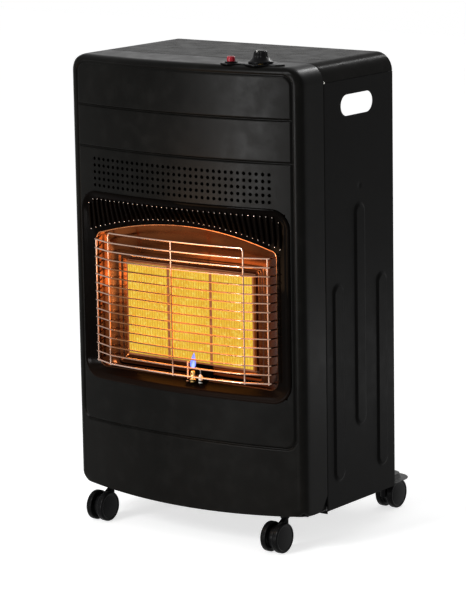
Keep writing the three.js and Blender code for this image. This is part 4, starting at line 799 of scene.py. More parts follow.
def front_cowl():
    """Pressed cowl: its plan at each height, with the lines pressed in, the window cut out of it, the
    vent holes set into their squares, and a level top."""
    share, heights = cowl_heights()
    every = np.concatenate([np.full(len(share), HEM_TOP), heights])
    x, y = cowl_section(every)
    z = np.broadcast_to(every[:, None], x.shape).copy()
    hem = cowl_hem(x[0], y[0])
    z[: len(share)] = hem + (HEM_TOP - hem) * share[:, None]
    x, y = tucked_corner(x, y, z - hem)
    points = np.stack([x, y + groove(x, z), z], axis=-1)
    rows, columns = x.shape
    faces = grid_faces(rows, columns)
    aside, front, level = np.abs(points.reshape(-1, 3)[faces].mean(axis=1)).T
    in_window = (aside < CUT_HALF) & (level > CUT_LOW) & (level < CUT_HIGH)
    in_vents = (aside < VENT_HALF_FIELD) & (level > VENT_LOW) & (level < VENT_HIGH)
    faces = faces[~((in_window | in_vents) & (front > FACE_DEPTH - 1))]
    rim_x, rim_y = cowl_section([TOP], 1.5)
    rim = np.stack([rim_x[0], np.minimum(rim_y[0], 0), np.full(columns, TOP)], axis=-1)
    start = rows * columns
    last = np.arange(columns - 1)
    band = np.stack([start - columns + last, start - columns + last + 1, start + last + 1, start + last], axis=-1)
    vent_points, vent_faces = vent_cells()
    everything = np.concatenate([points.reshape(-1, 3), rim, vent_points])
    top = [list(range(start, start + columns))]
    faces = faces.tolist() + band.tolist() + top + (vent_faces + start + columns).tolist()
    cowl = thicken(mesh_piece("cowl_shell", everything, faces, 0.02))
    for name, place, radius in (("knob_hole", KNOB, 20.8), ("button_hole", BUTTON, 9.8)):
        carve(cowl, prism(name, circle(*place, radius), TOP - 21, TOP + 19))
    round_edges(cowl, 0.3, 1, 60)
    return dress(cowl, COWL_PAINT, stands_for=["front_cowl"])


front_cowl()

# ---------------------------------------------------------------- window surround


def arch(x):
    """Head of the opening: z = 467 - 25 (x/165)^2."""
    return OPENING_HIGH - ARCH_DROP * (np.asarray(x, float) / OPENING_HALF) ** 2


def window_ring(half, low, head, low_radius, head_radius, depth):
    """A closed outline seen from the front: head from left to right, right side down, sill back and left
    side up, with quarter circles between them; its depth follows from x."""
    head_columns, side_columns, arc_columns = 121, 41, 13
    quarter = np.linspace(0, math.pi / 2, arc_columns)[1:-1]
    sine, cosine = np.sin(quarter), np.cos(quarter)
    head_end, sill_end = half - head_radius, half - low_radius
    top_x = np.linspace(-1, 1, head_columns) * head_end
    top = np.stack([top_x, head(top_x)], axis=-1)
    corner_z = head(np.array(head_end)) - head_radius
    high_arc = np.stack([head_end + head_radius * sine, corner_z + head_radius * cosine], -1)
    side_z = np.linspace(corner_z, low + low_radius, side_columns)
    side = np.stack([np.full(side_columns, half), side_z], axis=-1)
    low_arc = np.stack([sill_end + low_radius * cosine, low + low_radius - low_radius * sine], -1)
    sill_x = np.linspace(1, -1, head_columns) * sill_end
    sill = np.stack([sill_x, np.full(head_columns, low)], axis=-1)
    left = [part[::-1] * (-1, 1) for part in (low_arc, side, high_arc)]
    ring = np.concatenate([top, high_arc, side, low_arc, sill, *left])
    return np.stack([ring[:, 0], depth(ring[:, 0]), ring[:, 1]], axis=-1)


def surround_ring(inset, ahead):
    """Outline of the surround at an inset from its edge and a height ahead of the cowl's face."""
    radius = SURROUND_RADIUS - inset
    return window_ring(
        SURROUND_HALF - inset, WINDOW_LOW + inset, lambda x: np.full(np.shape(x), WINDOW_HIGH - inset),
        radius, radius, lambda x: bow(x) - ahead,
    )


def opening_ring(outward, depth):
    """Outline of the opening, grown outwards, at one depth."""
    return window_ring(
        OPENING_HALF + outward, OPENING_LOW - outward, lambda x: arch(x) + outward,
        14 + outward, 10 + outward, lambda x: np.full(np.shape(x), -depth),
    )


def window_surround():
    """Funnel from the rounded bead on the cowl in to the rim of the opening: the bead is a half round,
    the funnel a straight line between the two outlines with a soft start, the rim a small roll."""
    bead = [(0.0, 0.3), (0.05, 1.2), (0.5, 2.0), (1.3, 2.3), (2.4, 2.3), (3.6, 2.1), (5.0, 1.6), (6.6, 0.9)]
    rings = [surround_ring(*step) for step in bead]
    start, end = surround_ring(9.0, -0.4), opening_ring(0.8, LIP_DEPTH + 0.4)
    rings += [start + (end - start) * share for share in (*np.linspace(0, 0.94, 14), 0.97, 1.0)]
    rings += [opening_ring(*step) for step in ((0.2, 58.3), (0.0, 57.8), (0.0, 57.2), (0.2, 56.7))]
    rings = np.array(rings)
    faces = grid_faces(len(rings), rings.shape[1], wrap_columns=True)
    shell = thicken(mesh_piece("surround_funnel", rings, faces), 1.4)
    return dress(shell, ENAMEL, stands_for=["window_surround"], sharp=50)


def head_slope(x, z):
    """Depth of the funnel's head at a place on it."""
    share = (z - arch(x)) / (WINDOW_HIGH - 9 - arch(x))
    return -LIP_DEPTH + share * (bow(x) + LIP_DEPTH)


def fin_spans():
    """Where each fin stands, and the heights it goes from and to: 9 above the arch, and a parallel of the
    surround's own top and corner arcs."""
    x = (np.arange(FIN_COUNT) - (FIN_COUNT - 1) / 2) * FIN_PITCH
    corner = SURROUND_RADIUS - 11
    past = np.clip(np.abs(x) + 2.2 - SURROUND_HALF + SURROUND_RADIUS, 0, corner)
    return x, arch(x) + 9, WINDOW_HIGH - SURROUND_RADIUS + np.sqrt(corner**2 - past**2)


def closed_rows(rows, columns, start=0):
    """Faces of a tube laid out as a grid, with a flat lid at each end."""
    last = start + (rows - 1) * columns
    lids = [list(range(first, first + columns)) for first in (start, last)]
    return (grid_faces(rows, columns, wrap_columns=True) + start).tolist() + lids


def surround_fins():
    """Upright ribs on the head of the funnel: each a bar of superellipse section whose height fades as
    (1 - v^6)^(1/2) towards its rounded ends."""
    x, low, high = (value[:, None, None] for value in fin_spans())
    along = np.sin(np.linspace(-1, 1, 17) * math.pi / 2)
    fade = np.sqrt(np.clip(1 - np.abs(along) ** 6, 0, 1))[None, :, None]
    angle = np.linspace(0, 2 * math.pi, 16, endpoint=False)
    side = np.sign(np.cos(angle)) * np.abs(np.cos(angle)) ** 0.7
    rise = np.sign(np.sin(angle)) * np.abs(np.sin(angle)) ** 0.7
    rise = np.where(rise > 0, 3.4 * rise, 0.9 * rise)
    z = (high + low) / 2 + (high - low) / 2 * along[None, :, None] + 0 * side
    across = x + 2.1 * side * (0.25 + 0.75 * fade)
    depth = head_slope(x, z) - 0.2 - rise * fade
    points = np.stack([across, depth, z], axis=-1)
    rows, columns = len(along), len(angle)
    faces = [face for fin in range(FIN_COUNT) for face in closed_rows(rows, columns, fin * rows * columns)]
    fins = mesh_piece("surround_fins", points, faces, 0.01)
    return dress(fins, ENAMEL, stands_for=["window_surround"], sharp=60)


def fin_ends():
    """Painted highlights at the ribs' ends: small ellipsoids of bright metal on their crests, which catch the light
    as points where the enamel would glint.
    """
    up = np.linspace(-1, 1, 9) * math.pi / 2
    turn = np.linspace(0, 2 * math.pi, 12, endpoint=False)
    ring = np.maximum(np.cos(up), 0.03)[:, None]
    ball = np.stack([ring * np.cos(turn), -0.8 * ring * np.sin(turn), 1.1 * np.sin(up)[:, None] + 0 * turn], -1)
    x, low, high = fin_spans()
    inset = 0.018 * (high - low)
    points = []
    for z, size in ((low + inset, 0.85), (high - inset, 0.7)):
        centre = np.stack([x, head_slope(x, z) - 1.75, z], axis=-1)
        points.append(centre[:, None, None] + size * ball)
    points = np.concatenate(points)
    rows, columns = len(up), len(turn)
    faces = [face for end in range(len(points)) for face in closed_rows(rows, columns, end * rows * columns)]
    ends = mesh_piece("fin_ends", points, faces, 0.001)
    return dress(ends, GLINT_METAL, stands_for=["window_surround"], sharp=60)


def opening_trim():
    """Rolled edge of the reflector that shows all round inside the opening: a tube on its outline, its finish
    painted bright along the head.
    """
    path = apart(opening_ring(0.6, 57.0))
    trim = mesh_piece("opening_trim", *swept(path, 1.5, 12, closed=True, side_of=(0.01, 1, 0.02)), 0.0005)
    return dress(trim, TRIM, stands_for=["reflector"], sharp=60)


window_surround()
surround_fins()
fin_ends()
opening_trim()

# ---------------------------------------------------------------- wire guard


def flare(x):
    """Depth of the reflector's flared side wall, as a straight line."""
    return -46 - 10.2 * (x - FLAT_HALF) / FLARE_REACH


def wire_depth(x):
    """Depth of the wires: y = -93.9 + 7.9 (x/124)^2 out to the hoop, then straight back to the outer upright."""
    x = np.abs(x)
    bowed = -GUARD_FRONT + GUARD_BOW * (x / HOOP_HALF) ** 2
    straight = -WIRE_TURN_DEPTH + (x - WIRE_TURN) * (16.0 / 39.5)
    return np.where(x < WIRE_TURN, bowed, straight)


def behind_wires(x, z):
    """A place on the hoop or an upright, which stand 1.7 behind the wires."""
    return np.stack([x, wire_depth(x) + 1.7, z], axis=-1)


def wire_guard():
    """Guard of round wire: fifteen wires across, bent back at each end to the reflector, welded to the
    front of a hoop, a middle upright and two outer uprights."""
    half = np.concatenate([np.arange(0, 118, 8.0), [WIRE_TURN, 123, 127]])
    bends = np.array([[159.9, -70.5], [163.2, flare(163.2) - 0.6]])
    path = np.concatenate([np.stack([half, wire_depth(half)], -1), bends])
    path = apart(bent(np.c_[path, np.zeros(len(path))], 3.0, 5))
    across = np.concatenate([path[:0:-1] * (-1, 1, 1), path])
    parts = [swept(across + (0, 0, WIRE_LOWEST + WIRE_PITCH * i), WIRE_RADIUS, 10) for i in range(WIRE_COUNT)]
    hoop_x = HOOP_HALF * np.array([-1, -1, -0.5, 0, 0.5, 1, 1])
    hoop = bent(behind_wires(hoop_x, np.array([GUARD_FOOT, *[HOOP_TOP] * 5, GUARD_FOOT])), 5.5, 8)
    left, right = hoop[hoop[:, 0] < -116], hoop[hoop[:, 0] > 116]
    level = behind_wires(np.linspace(-112, 112, 29), np.full(29, HOOP_TOP))
    parts.append(swept(np.concatenate([left, level, right]), WIRE_RADIUS, 10, side_of=(0.02, 1, 0.01)))
    for x, high in ((0.0, HOOP_TOP), (-OUTER_POST, OUTER_POST_TOP), (OUTER_POST, OUTER_POST_TOP)):
        post = behind_wires(np.full(3, x), np.array([GUARD_FOOT, 320.0, high]))
        parts.append(swept(post, WIRE_RADIUS, 10, side_of=(1, 0, 0)))
    guard = mesh_piece("guard_wires", *several(parts), 0.0005)
    return dress(guard, CHROME, stands_for=["wire_guard"], sharp=60)


wire_guard()

# ---------------------------------------------------------------- reflector, burners and pilot


def pan_ring(half, low, high, depth, corner):
    """A rectangle with rounded corners, seen from the front, at one depth."""
    quarter = np.linspace(0, math.pi / 2, 6)
    arc = corner * np.stack([np.cos(quarter), np.sin(quarter)], -1)
    right_low = (half - corner, low + corner) + arc[::-1] * (1, -1)
    right_high = (half - corner, high - corner) + arc
    right = np.concatenate([right_low, right_high])
    ring = np.concatenate([right, right[::-1] * (-1, 1)])
    return np.stack([ring[:, 0], np.full(len(ring), float(depth)), ring[:, 1]], axis=-1)


def reflector():
    """Dished reflector: the outline of the burners carried outwards, over two rounded beads on the flat
    and up a hollow flare, depth = 46.2 + 9.9 t^1.5, to the lip."""
    flat = [
        (PAN_INNER, -44.8), (PAN_INNER, -45.7), (119.6, -46.0), (122, -46.0), (123.4, -46.8), (125.4, -47.4),
        (127.4, -46.8), (128.6, -46.0), (130.4, -46.0), (132.0, -46.9), (134.2, -47.5), (136.4, -46.9),
        (138.2, -46.2), (FLAT_HALF, -FLAT_DEPTH),
    ]
    steps = []
    for x, depth in flat:
        out = x - PAN_INNER
        steps.append((x, 259.3 - 0.8 * out, 405.7 + 0.7 * out, depth, 2 + 0.3 * out))
    for t in np.linspace(0.12, 1, 9):
        depth = -FLAT_DEPTH - FLARE_DEPTH * t**1.5
        steps.append((FLAT_HALF + FLARE_REACH * t, 242.5 - 5.5 * t, 420.4 + 49.6 * t, depth, 8.3 + 0.7 * t))
    steps.append((171.0, 234.0, 473.0, -FLAT_DEPTH - FLARE_DEPTH, 9))
    rings = np.array([pan_ring(*step) for step in steps])
    pan = mesh_piece("reflector_pan", rings, grid_faces(len(steps), rings.shape[1], wrap_columns=True))
    thicken(facing(pan, 0, -1, 0))
    notch = np.array([(1, 230), (41, 230), (41, 258), (1, 258)])
    carve(pan, prism("notch", notch, -60, -40, "y"))
    return dress(pan, REFLECTOR, stands_for=["reflector"], sharp=40)


def plaque(name, x):
    """A fired tile with softly rounded edges: its rectangle drawn in as the rim turns back, then again
    towards its middle, a little sunk."""
    across = np.linspace(-1, 1, 41)
    up = across[1:-1]
    half_x, half_z = PLAQUE_WIDTH / 2, (PLAQUE_HIGH - PLAQUE_LOW) / 2
    outline_u = np.concatenate([across, np.ones(len(up)), across[::-1], -np.ones(len(up))])
    outline_v = np.concatenate([np.ones(len(across)), up[::-1], -np.ones(len(across)), up])
    rings = []
    for share, back in ((1.0, 12.6), (1.0, 1.0), (0.990, 0.3), (0.972, 0.0), (0.6, -0.05), (0.25, -0.08)):
        share_x = (half_x - half_z * (1 - share)) / half_x if share > 0.9 else share
        ring_x = x + half_x * share_x * outline_u
        ring_z = (PLAQUE_LOW + PLAQUE_HIGH) / 2 + half_z * share * outline_v
        rings.append(np.stack([ring_x, np.full(len(ring_x), back - PLAQUE_FRONT), ring_z], axis=-1))
    tile = mesh_piece(name + "_tile", np.array(rings), closed_rows(len(rings), len(outline_u)))
    return dress(tile, CLAY, stands_for=[name])


reflector()
for tile_name, tile_x in (("plaque_left", -PLAQUE_PITCH), ("plaque_centre", 0.0), ("plaque_right", PLAQUE_PITCH)):
    plaque(tile_name, tile_x)


def pilot_flame():
    """Pilot flame: a tongue of radius r0 sin(pi v^0.75)^0.8 (1 - 0.35 v) that leans back as v^2."""
    v = np.linspace(0, 1, 21)[:, None]
    swell = np.sin(math.pi * v**0.75) ** 0.8 * (1 - 0.35 * v)
    angle = np.linspace(0, 2 * math.pi, 24, endpoint=False)
    for name, radius, low, high, finish in (
        ("pilot_flame_outer", 5.0, 256.5, 281.0, BLUE_FLAME), ("pilot_flame_inner", 2.6, 257.5, 270.0, FLAME_HEART),
    ):
        reach = np.maximum(radius * swell, 0.02)
        x = PILOT_X + reach * np.cos(angle)
        y = PILOT_ROW + reach * np.sin(angle) + 3.5 * v**2
        z = np.broadcast_to(low + (high - low) * v, x.shape)
        tongue = mesh_piece(name, np.stack([x, y, z], -1), closed_rows(*x.shape), 0.001)
        dress(tongue, finish, sharp=80)


def on_shelf(name, x, sides, profile):
    """A profile of (radius, height over the shelf) pairs turned about its own upright axis in the pilot's row."""
    return turned(name, profile, (x, PILOT_ROW, PILOT_SHELF), sides=sides)


def pilot_group():
    """Slotted pilot head, thermocouple and electrode; the electrode's wire is a tube swept along a bend
    towards the flame."""
    head = on_shelf("pilot_head", PILOT_X, 40, [
        (0, 0), (4.9, 0), (5.1, 0.3), (5.1, 4.3), (4.6, 5.0), (3.9, 5.6), (3.6, 6.3), (3.6, 14.9), (3.3, 16.1),
        (2.6, 16.8), (1.2, 17), (0, 17),
    ])
    slot = [(PILOT_X + x, PILOT_ROW + y) for x, y in ((-1, -6), (1, -6), (1, 0), (-1, 0))]
    carve(head, prism("slot", slot, PILOT_SHELF + 11, PILOT_SHELF + 15))
    dress(head, BRASS, stands_for=["pilot_burner"])
    probe = on_shelf("thermocouple_probe", PROBE_X, 32, [
        (0, 0), (3.2, 0), (3.4, 0.3), (3.4, 3.6), (3.0, 4.0), (1.8, 4.2), (1.8, 27.3), (1.6, 28.6), (1.0, 29.6),
        (0, 30),
    ])
    dress(probe, COPPER, stands_for=["thermocouple"])
    insulator = on_shelf("electrode_insulator", ELECTRODE_X, 40, [
        (0, 0), (2.7, 0), (3.0, 0.4), (3.2, 2.0), (3.2, 8.6), (2.9, 10.3), (2.2, 11.8), (1.5, 12.7), (0.9, 13),
        (0, 13),
    ])
    dress(insulator, PORCELAIN, stands_for=["ignition_electrode"], sharp=60)
    corners = ((ELECTRODE_X, 11), (ELECTRODE_X, 20), (23.2, 22))
    path = bent([(x, PILOT_ROW, PILOT_SHELF + up) for x, up in corners], 4.5, 10)
    wire = mesh_piece("electrode_wire", *swept(path, 0.8, 12, side_of=(0, 1, 0)), 0.0005)
    dress(wire, STEEL, stands_for=["ignition_electrode"], sharp=60)


pilot_flame()
pilot_group()

# ---------------------------------------------------------------- cabinet


def rib_rise(y, z):
    """Rise of the three pressed ribs: 2.5 within a stadium, falling by a cubic over its 4 mm flank."""
    rise = np.zeros(np.broadcast(y, z).shape)
    for centre, low, high in RIBS:
        past = np.abs(z - (low + high) / 2) - ((high - low) / 2 - RIB_FOOT)
        away = np.hypot(y - centre, np.maximum(past, 0))
        rise = np.maximum(rise, RIB_RISE * (1 - smooth(RIB_CREST, RIB_FOOT, away)))
    return rise


def side_panel(side, name, node):
    """Side panel: a plan folded in at its front and back edges, carried up from the hem, with the ribs
    pressed out, the hand slot cut through, a shallow dimple, and its lower edge notched for the tray."""
    bend = np.linspace(0, math.pi / 2, 5)
    radius = 1.5
    fold, back_fold = HALF_WIDTH - radius, CABINET_DEPTH - radius
    front = np.stack([fold + radius * np.sin(bend), GAP + radius - radius * np.cos(bend)], -1)
    back = np.stack([fold + radius * np.cos(bend), back_fold + radius * np.sin(bend)], -1)
    flanks = [centre + np.array([-RIB_FOOT, -RIB_CREST, RIB_CREST, RIB_FOOT]) for centre, *_ in RIBS]
    flat_y = np.unique(np.concatenate([np.arange(4, 177, 2.0), *flanks]))
    flat = np.stack([np.full(len(flat_y), HALF_WIDTH), flat_y], -1)
    plan = np.concatenate([[[FLANGE_EDGE, GAP]], front, flat, back, [[FLANGE_EDGE, CABINET_DEPTH]]])
    z = np.unique(np.concatenate([
        [PANEL_BOTTOM, PANEL_BOTTOM + 1], np.arange(60, 92, 8.0), np.arange(88, 110, 2.0), np.arange(112, 162, 8.0),
        np.arange(162, 184, 2.0), np.arange(190, 372, 10.0), np.arange(370, 392, 2.0), np.arange(400, 480, 10.0),
        np.arange(480, 504, 2.0), np.arange(506, 546, 2.0), np.arange(556, 676, 10.0), [PANEL_TOP],
    ]))
    x = np.broadcast_to(plan[:, 0], (len(z), len(plan))).copy()
    y = np.broadcast_to(plan[:, 1], x.shape)
    high = np.broadcast_to(z[:, None], x.shape)
    dimple = np.exp(-(((y - DIMPLE[0]) / 3.2) ** 2 + ((high - DIMPLE[1]) / 3.2) ** 2))
    x += np.where(x > HALF_WIDTH - 0.1, rib_rise(y, high) - dimple, 0)
    panel = mesh_piece(name, np.stack([side * x, y, high], axis=-1), grid_faces(*x.shape))
    thicken(facing(panel, side, 0, 0))
    carve(panel, side_prism("slot", slot_outline(*HAND_SLOT), side, 190.0, 225.0))
    notch = [(-1, 40), (181, 40), (181, 64.3), (-1, 64.3)]
    carve(panel, side_prism("notch", notch, side, 198.0, 208.7))
    return dress(panel, CABINET_PAINT, stands_for=[node], sharp=30)


def set_in_head(side, name, node):
    """Upper edge of a side panel, stepped in to pass behind the top cover: an S carried along the depth."""
    line = np.array([(209.4, 671.0), (208.6, 676.5), (207.4, 679.5), (206.9, 683.0), (206.8, 689.6)])
    columns = (side * line[:, :1], np.linspace(8, 172, 24), line[:, 1:])
    x, y, z = np.broadcast_arrays(*columns)
    strip = mesh_piece(name, np.stack([x, y, z], -1), grid_faces(*x.shape))
    thicken(facing(strip, side, 0, 0), 1.0)
    return dress(strip, CABINET_PAINT, stands_for=[node])


def top_cover():
    """Top cover: two quarter-round shoulders and a level top carried from the seam to the back, where the
    sheet turns down by a small radius into the back flange; the front edge is rolled under."""
    turn = np.linspace(0, math.pi / 2, 17)
    outward = np.stack([np.cos(turn), np.sin(turn)], -1)
    right = (HALF_WIDTH - SHOULDER, COVER_EDGE) + SHOULDER * outward
    level = np.stack([np.linspace(178, -178, 41), np.full(41, TOP)], -1)
    section = np.concatenate([right, level, right[::-1] * (-1, 1)])
    normal = np.concatenate([outward, np.tile((0.0, 1.0), (41, 1)), outward[::-1] * (-1, 1)])
    rows = [(0.3, 0.9), (0.35, 0.4), (0.75, 0.05), (1.4, 0.0)] + [(y, 0.0) for y in np.linspace(10, 174, 18)]
    radius = 2.4
    for angle in np.linspace(math.pi / 2, 0, 5):
        rows.append((CABINET_DEPTH - radius + radius * math.cos(angle), radius - radius * math.sin(angle)))
    points = np.array([np.c_[section - normal * sink, np.full(len(section), y)][:, [0, 2, 1]] for y, sink in rows])
    inner = points[-1].copy()
    inner[:, [0, 2]] -= normal * BACK_FLANGE
    inner[:, 2] = np.maximum(inner[:, 2], BACK_FLANGE_LOW)
    flange = [points[-1] + (inner - points[-1]) * share for share in (0.15, 1.0)]
    points = np.concatenate([points, flange])
    cover = mesh_piece("top_cover_sheet", points, grid_faces(*points.shape[:2]), 0.01)
    thicken(facing(cover, 0, 0, 1))
    return dress(cover, COVER_PAINT, stands_for=["top_cover"], sharp=50)


def seam_pin(side, name):
    """Bright pin where the seam meets the top cover's lower edge: a dome r sqrt(1 - (h/H)^2)."""
    rise = np.linspace(0, math.pi / 2, 7)
    profile = np.stack([1.7 * np.cos(rise), 209.2 + 1.5 * np.sin(rise)], -1)
    profile = np.concatenate([[(0.0, 208.6), (1.7, 208.6)], profile])
    pin = turned(name, profile * (1, side), (0, 2.4, 684.2), "x", 24)
    return dress(pin, ZINC, sharp=60)


for side, hand in SIDES:
    side_panel(side, f"side_panel_{hand}_sheet", "side_panel_" + hand)
for side, hand in SIDES:
    set_in_head(side, f"side_panel_{hand}_head", "side_panel_" + hand)
top_cover()
for side, hand in SIDES:
    seam_pin(side, "seam_pin_" + hand)

# ---------------------------------------------------------------- base


def rounded_plan(half, front, back, front_radius, back_radius, z):
    """A level rectangle with its own corner radius at the front and at the back."""
    quarter = np.linspace(0, math.pi / 2, 9)
    arc = np.stack([np.cos(quarter), np.sin(quarter)], -1)
    right_back = (half - back_radius, back - back_radius) + back_radius * arc
    right_front = (half - front_radius, front + front_radius) + front_radius * arc[::-1] * (1, -1)
    left = np.concatenate([right_front, right_back])[::-1] * (-1, 1)
    ring = np.concatenate([right_back, left, right_front])
    return np.c_[ring, np.full(len(ring), z)]


def base_tray():
    """Pressed base: a rim with its edge rolled down, and a raised tray whose flank follows
    8 (3t^2 - 2t^3) over 4 mm; below, gussets stand up inside the cowl."""
    edge = ((0.25, 1.1), (0.0, 0.8), (0.05, 0.4), (0.35, 0.08), (0.9, 0.0), (2.0, 0.0))
    rings = [
        rounded_plan(TRAY_HALF - inset, TRAY_FRONT + inset, TRAY_BACK - inset, 25, 27 - inset, TRAY_RIM - sink)
        for inset, sink in edge
    ]
    flank = 4.0
    for t in (-0.15, *np.linspace(0, 1, 11), 1.2):
        d = flank * t
        radius = STEP_RADIUS - d
        z = TRAY_RIM + (TRAY_FLOOR - TRAY_RIM) * float(smooth(0, 1, t))
        rings.append(rounded_plan(STEP_HALF - d, STEP_FRONT + d, STEP_BACK - d, radius, radius, z))
    rings.append(rounded_plan(192, 9, 219, 13, 13, TRAY_FLOOR))
    rows, columns = len(rings), len(rings[0])
    faces = grid_faces(rows, columns, wrap_columns=True).tolist()
    faces.append(list(range((rows - 1) * columns, rows * columns)))
    tray = thicken(facing(mesh_piece("base_pressing", rings, faces), 0, 0, 1))
    dress(tray, TRAY_PAINT, stands_for=["base_tray"], sharp=50)
    outline = [(-42, 55.2), (0.2, 55.2), (0.2, 77.6), (-1.2, 78.0), (-2.6, 77.4)]
    for side, hand in SIDES:
        plate = side_prism("gusset_" + hand, outline, side, 205.7, 206.9)
        dress(plate, CABINET_PAINT, stands_for=["base_tray"])


def front_channel():
    """Stiffening channel under the base: a folded line carried across, its front corners mitred so that
    its half width is 208.2 + (y + 13) from y = -13 forward to y = -27."""
    line = bent([
        (0, CHANNEL_BACK, CHANNEL_LOW), (0, CHANNEL_BACK, CHANNEL_HIGH),
        (0, CHANNEL_FRONT, CHANNEL_HIGH), (0, CHANNEL_FRONT, CHANNEL_LOW),
    ], 2.2, 6)
    half = TRAY_HALF - CHANNEL_MITRE * np.clip((-13 - line[:, 1]) / CHANNEL_MITRE, 0, 1)
    across = half[:, None] * np.linspace(-1, 1, 31)
    points = np.stack(np.broadcast_arrays(across, line[:, 1:2], line[:, 2:3]), axis=-1)
    sheet = thicken(facing(mesh_piece("channel_folded", points, grid_faces(*across.shape)), 0, 0, 1))
    dress(sheet, CABINET_PAINT, stands_for=["front_channel"])


base_tray()
front_channel()

# ---------------------------------------------------------------- controls


def control_knob():
    """Gas knob: a profile of skirt, cone and grip turned about its axis, the grip cut by twelve shallow
    flutes as r (1 - 0.085 ((1 + cos 12a) / 2)^2), with a raised pointer bar and a bore for the spindle."""
    profile = np.array([
        (0, 0), (17.4, 0), (17.9, 0.3), (18.0, 0.9), (18.0, 1.8), (17.7, 2.4), (16.9, 3.0), (15.0, 4.3), (13.4, 5.8),
        (12.2, 7.4), (11.4, 8.8), (10.9, 9.8), (10.6, 10.8), (10.3, 12.5), (10.1, 14.0), (9.7, 15.4), (9.0, 16.5),
        (8.0, 17.3), (6.8, 17.75), (5.6, 17.8), (3.0, 17.8), (0, 17.8),
    ])

    def flutes(angle, radius, height):
        on_grip = smooth(7.2, 9.6, height) * (1 - smooth(16.2, 17.6, height))
        return 1 - 0.085 * on_grip * (0.5 + 0.5 * np.cos(12 * angle)) ** 2

    x, y = KNOB
    knob = turned("gas_knob", profile, (x, y, KNOB_FOOT), sides=144, wave=flutes)
    carve(knob, prism("bore", circle(x, y, 4.4, 32), KNOB_FOOT - 1.6, KNOB_FOOT + 13.3))
    dress(knob, BLACK_PLASTIC, "control_knob", ["control_knob"], sharp=40)
    outline = [(x - 0.9, y - 9.2), (x + 0.9, y - 9.2), (x + 0.9, y - 1.6), (x - 0.9, y - 1.6)]
    bar = prism("knob_pointer", outline, KNOB_FOOT + 15.9, KNOB_FOOT + 18.75)
    round_edges(bar, 0.35)
    dress(bar, PALE_MARK, "control_knob", ["control_knob"])


def piezo_button():
    """Push button: a turned barrel with a rounded edge and a shallow dish, -0.6 (1 - (r/4.6)^2)."""
    dish_radius = 4.6
    r = np.linspace(dish_radius, 0, 6)
    dish = np.stack([r, 722 - 0.6 * (1 - (r / dish_radius) ** 2)], -1)
    profile = np.concatenate([[(0, 704), (6, 704), (6, 719.6), (5.95, 720.6), (5.6, 721.4), (5.1, 721.9)], dish])
    button = turned("piezo_button_cap", profile, (*BUTTON, 0), sides=64)
    dress(button, RED_PLASTIC, "piezo_button", ["piezo_button"], sharp=50)


def igniter():
    """Igniter barrel hung by a rounded collar, threaded as 0.25 cos over every millimetre and a half."""
    pitch = 1.5
    thread = np.arange(681, 708.1, pitch / 4)
    body = np.stack([7.75 + 0.25 * np.cos(2 * math.pi * thread / pitch), thread], -1)
    profile = np.concatenate([
        [(0, 667), (5.2, 667), (5.5, 667.4), (5.5, 679), (7.4, 680)], body,
        [(7.7, 709), (7.7, 713.35), (9.3, 713.4), (9.5, 713.7), (9.45, 714.3), (9.0, 714.75), (8.4, 714.9),
         (7.0, 714.9), (6.55, 714.7), (6.4, 714.2), (6.4, 696.5), (0, 696.5)],
    ])
    barrel = turned("igniter_barrel", profile, (*BUTTON, 0), sides=48)
    dress(barrel, BLACK_PLASTIC, stands_for=["piezo_igniter"], sharp=50)


def control_plate():
    """Control plate: the outlines of a tail, a lobe and a ring joined, pierced and rounded at the edge."""
    plate = prism("plate", circle(*KNOB, 24.4, 96), PAD_LOW, PAD_HIGH)
    strip = [(88, -65), (161, -52), (161, -32), (88, -45)]
    for name, outline in (("strip", strip), ("tail", circle(161, -42, 10)), ("lobe", circle(*BUTTON, 15.5, 64))):
        carve(plate, prism(name, outline, PAD_LOW, PAD_HIGH), "UNION")
    for name, outline in (("ring", circle(*KNOB, 18.6, 96)), ("hole", circle(*BUTTON, 8.3))):
        carve(plate, prism(name, outline, PAD_LOW - 1, PAD_HIGH + 1))
    plate.name = "control_pad"
    round_edges(plate, 0.5, 3, 50)
    dress(plate, BLACK_PLASTIC, stands_for=["control_plate"], sharp=50)


def gas_nipple():
    """Hose nipple: a collar and four barbs, each rising as a saw tooth, turned about its axis."""
    tooth = np.array([(5.0, 0.0), (5.0, 0.0), (4.89, 0.44), (4.285, 2.86), (3.9, 4.4)])
    barbs = np.concatenate([tooth + (0, 6 + 4.6 * count) for count in range(4)])
    collar = [(0, -24.7), (6.2, -24.7), (6.5, -24.3), (6.5, -17.1), (6.1, -16.7), (4.0, -16.5), (4.0, 5)]
    bore = [(3.6, 25.0), (2.6, 25.3), (2.6, 2.0), (0, 2.0)]
    profile = np.concatenate([collar, barbs, bore])
    nipple = turned("gas_nipple", profile, (KNOB[0], 0, NIPPLE_HEIGHT), "y", 32)
    dress(nipple, BRASS, stands_for=["gas_inlet"], sharp=35)


control_knob()
piezo_button()
igniter()
control_plate()
gas_nipple()

# ---------------------------------------------------------------- castors


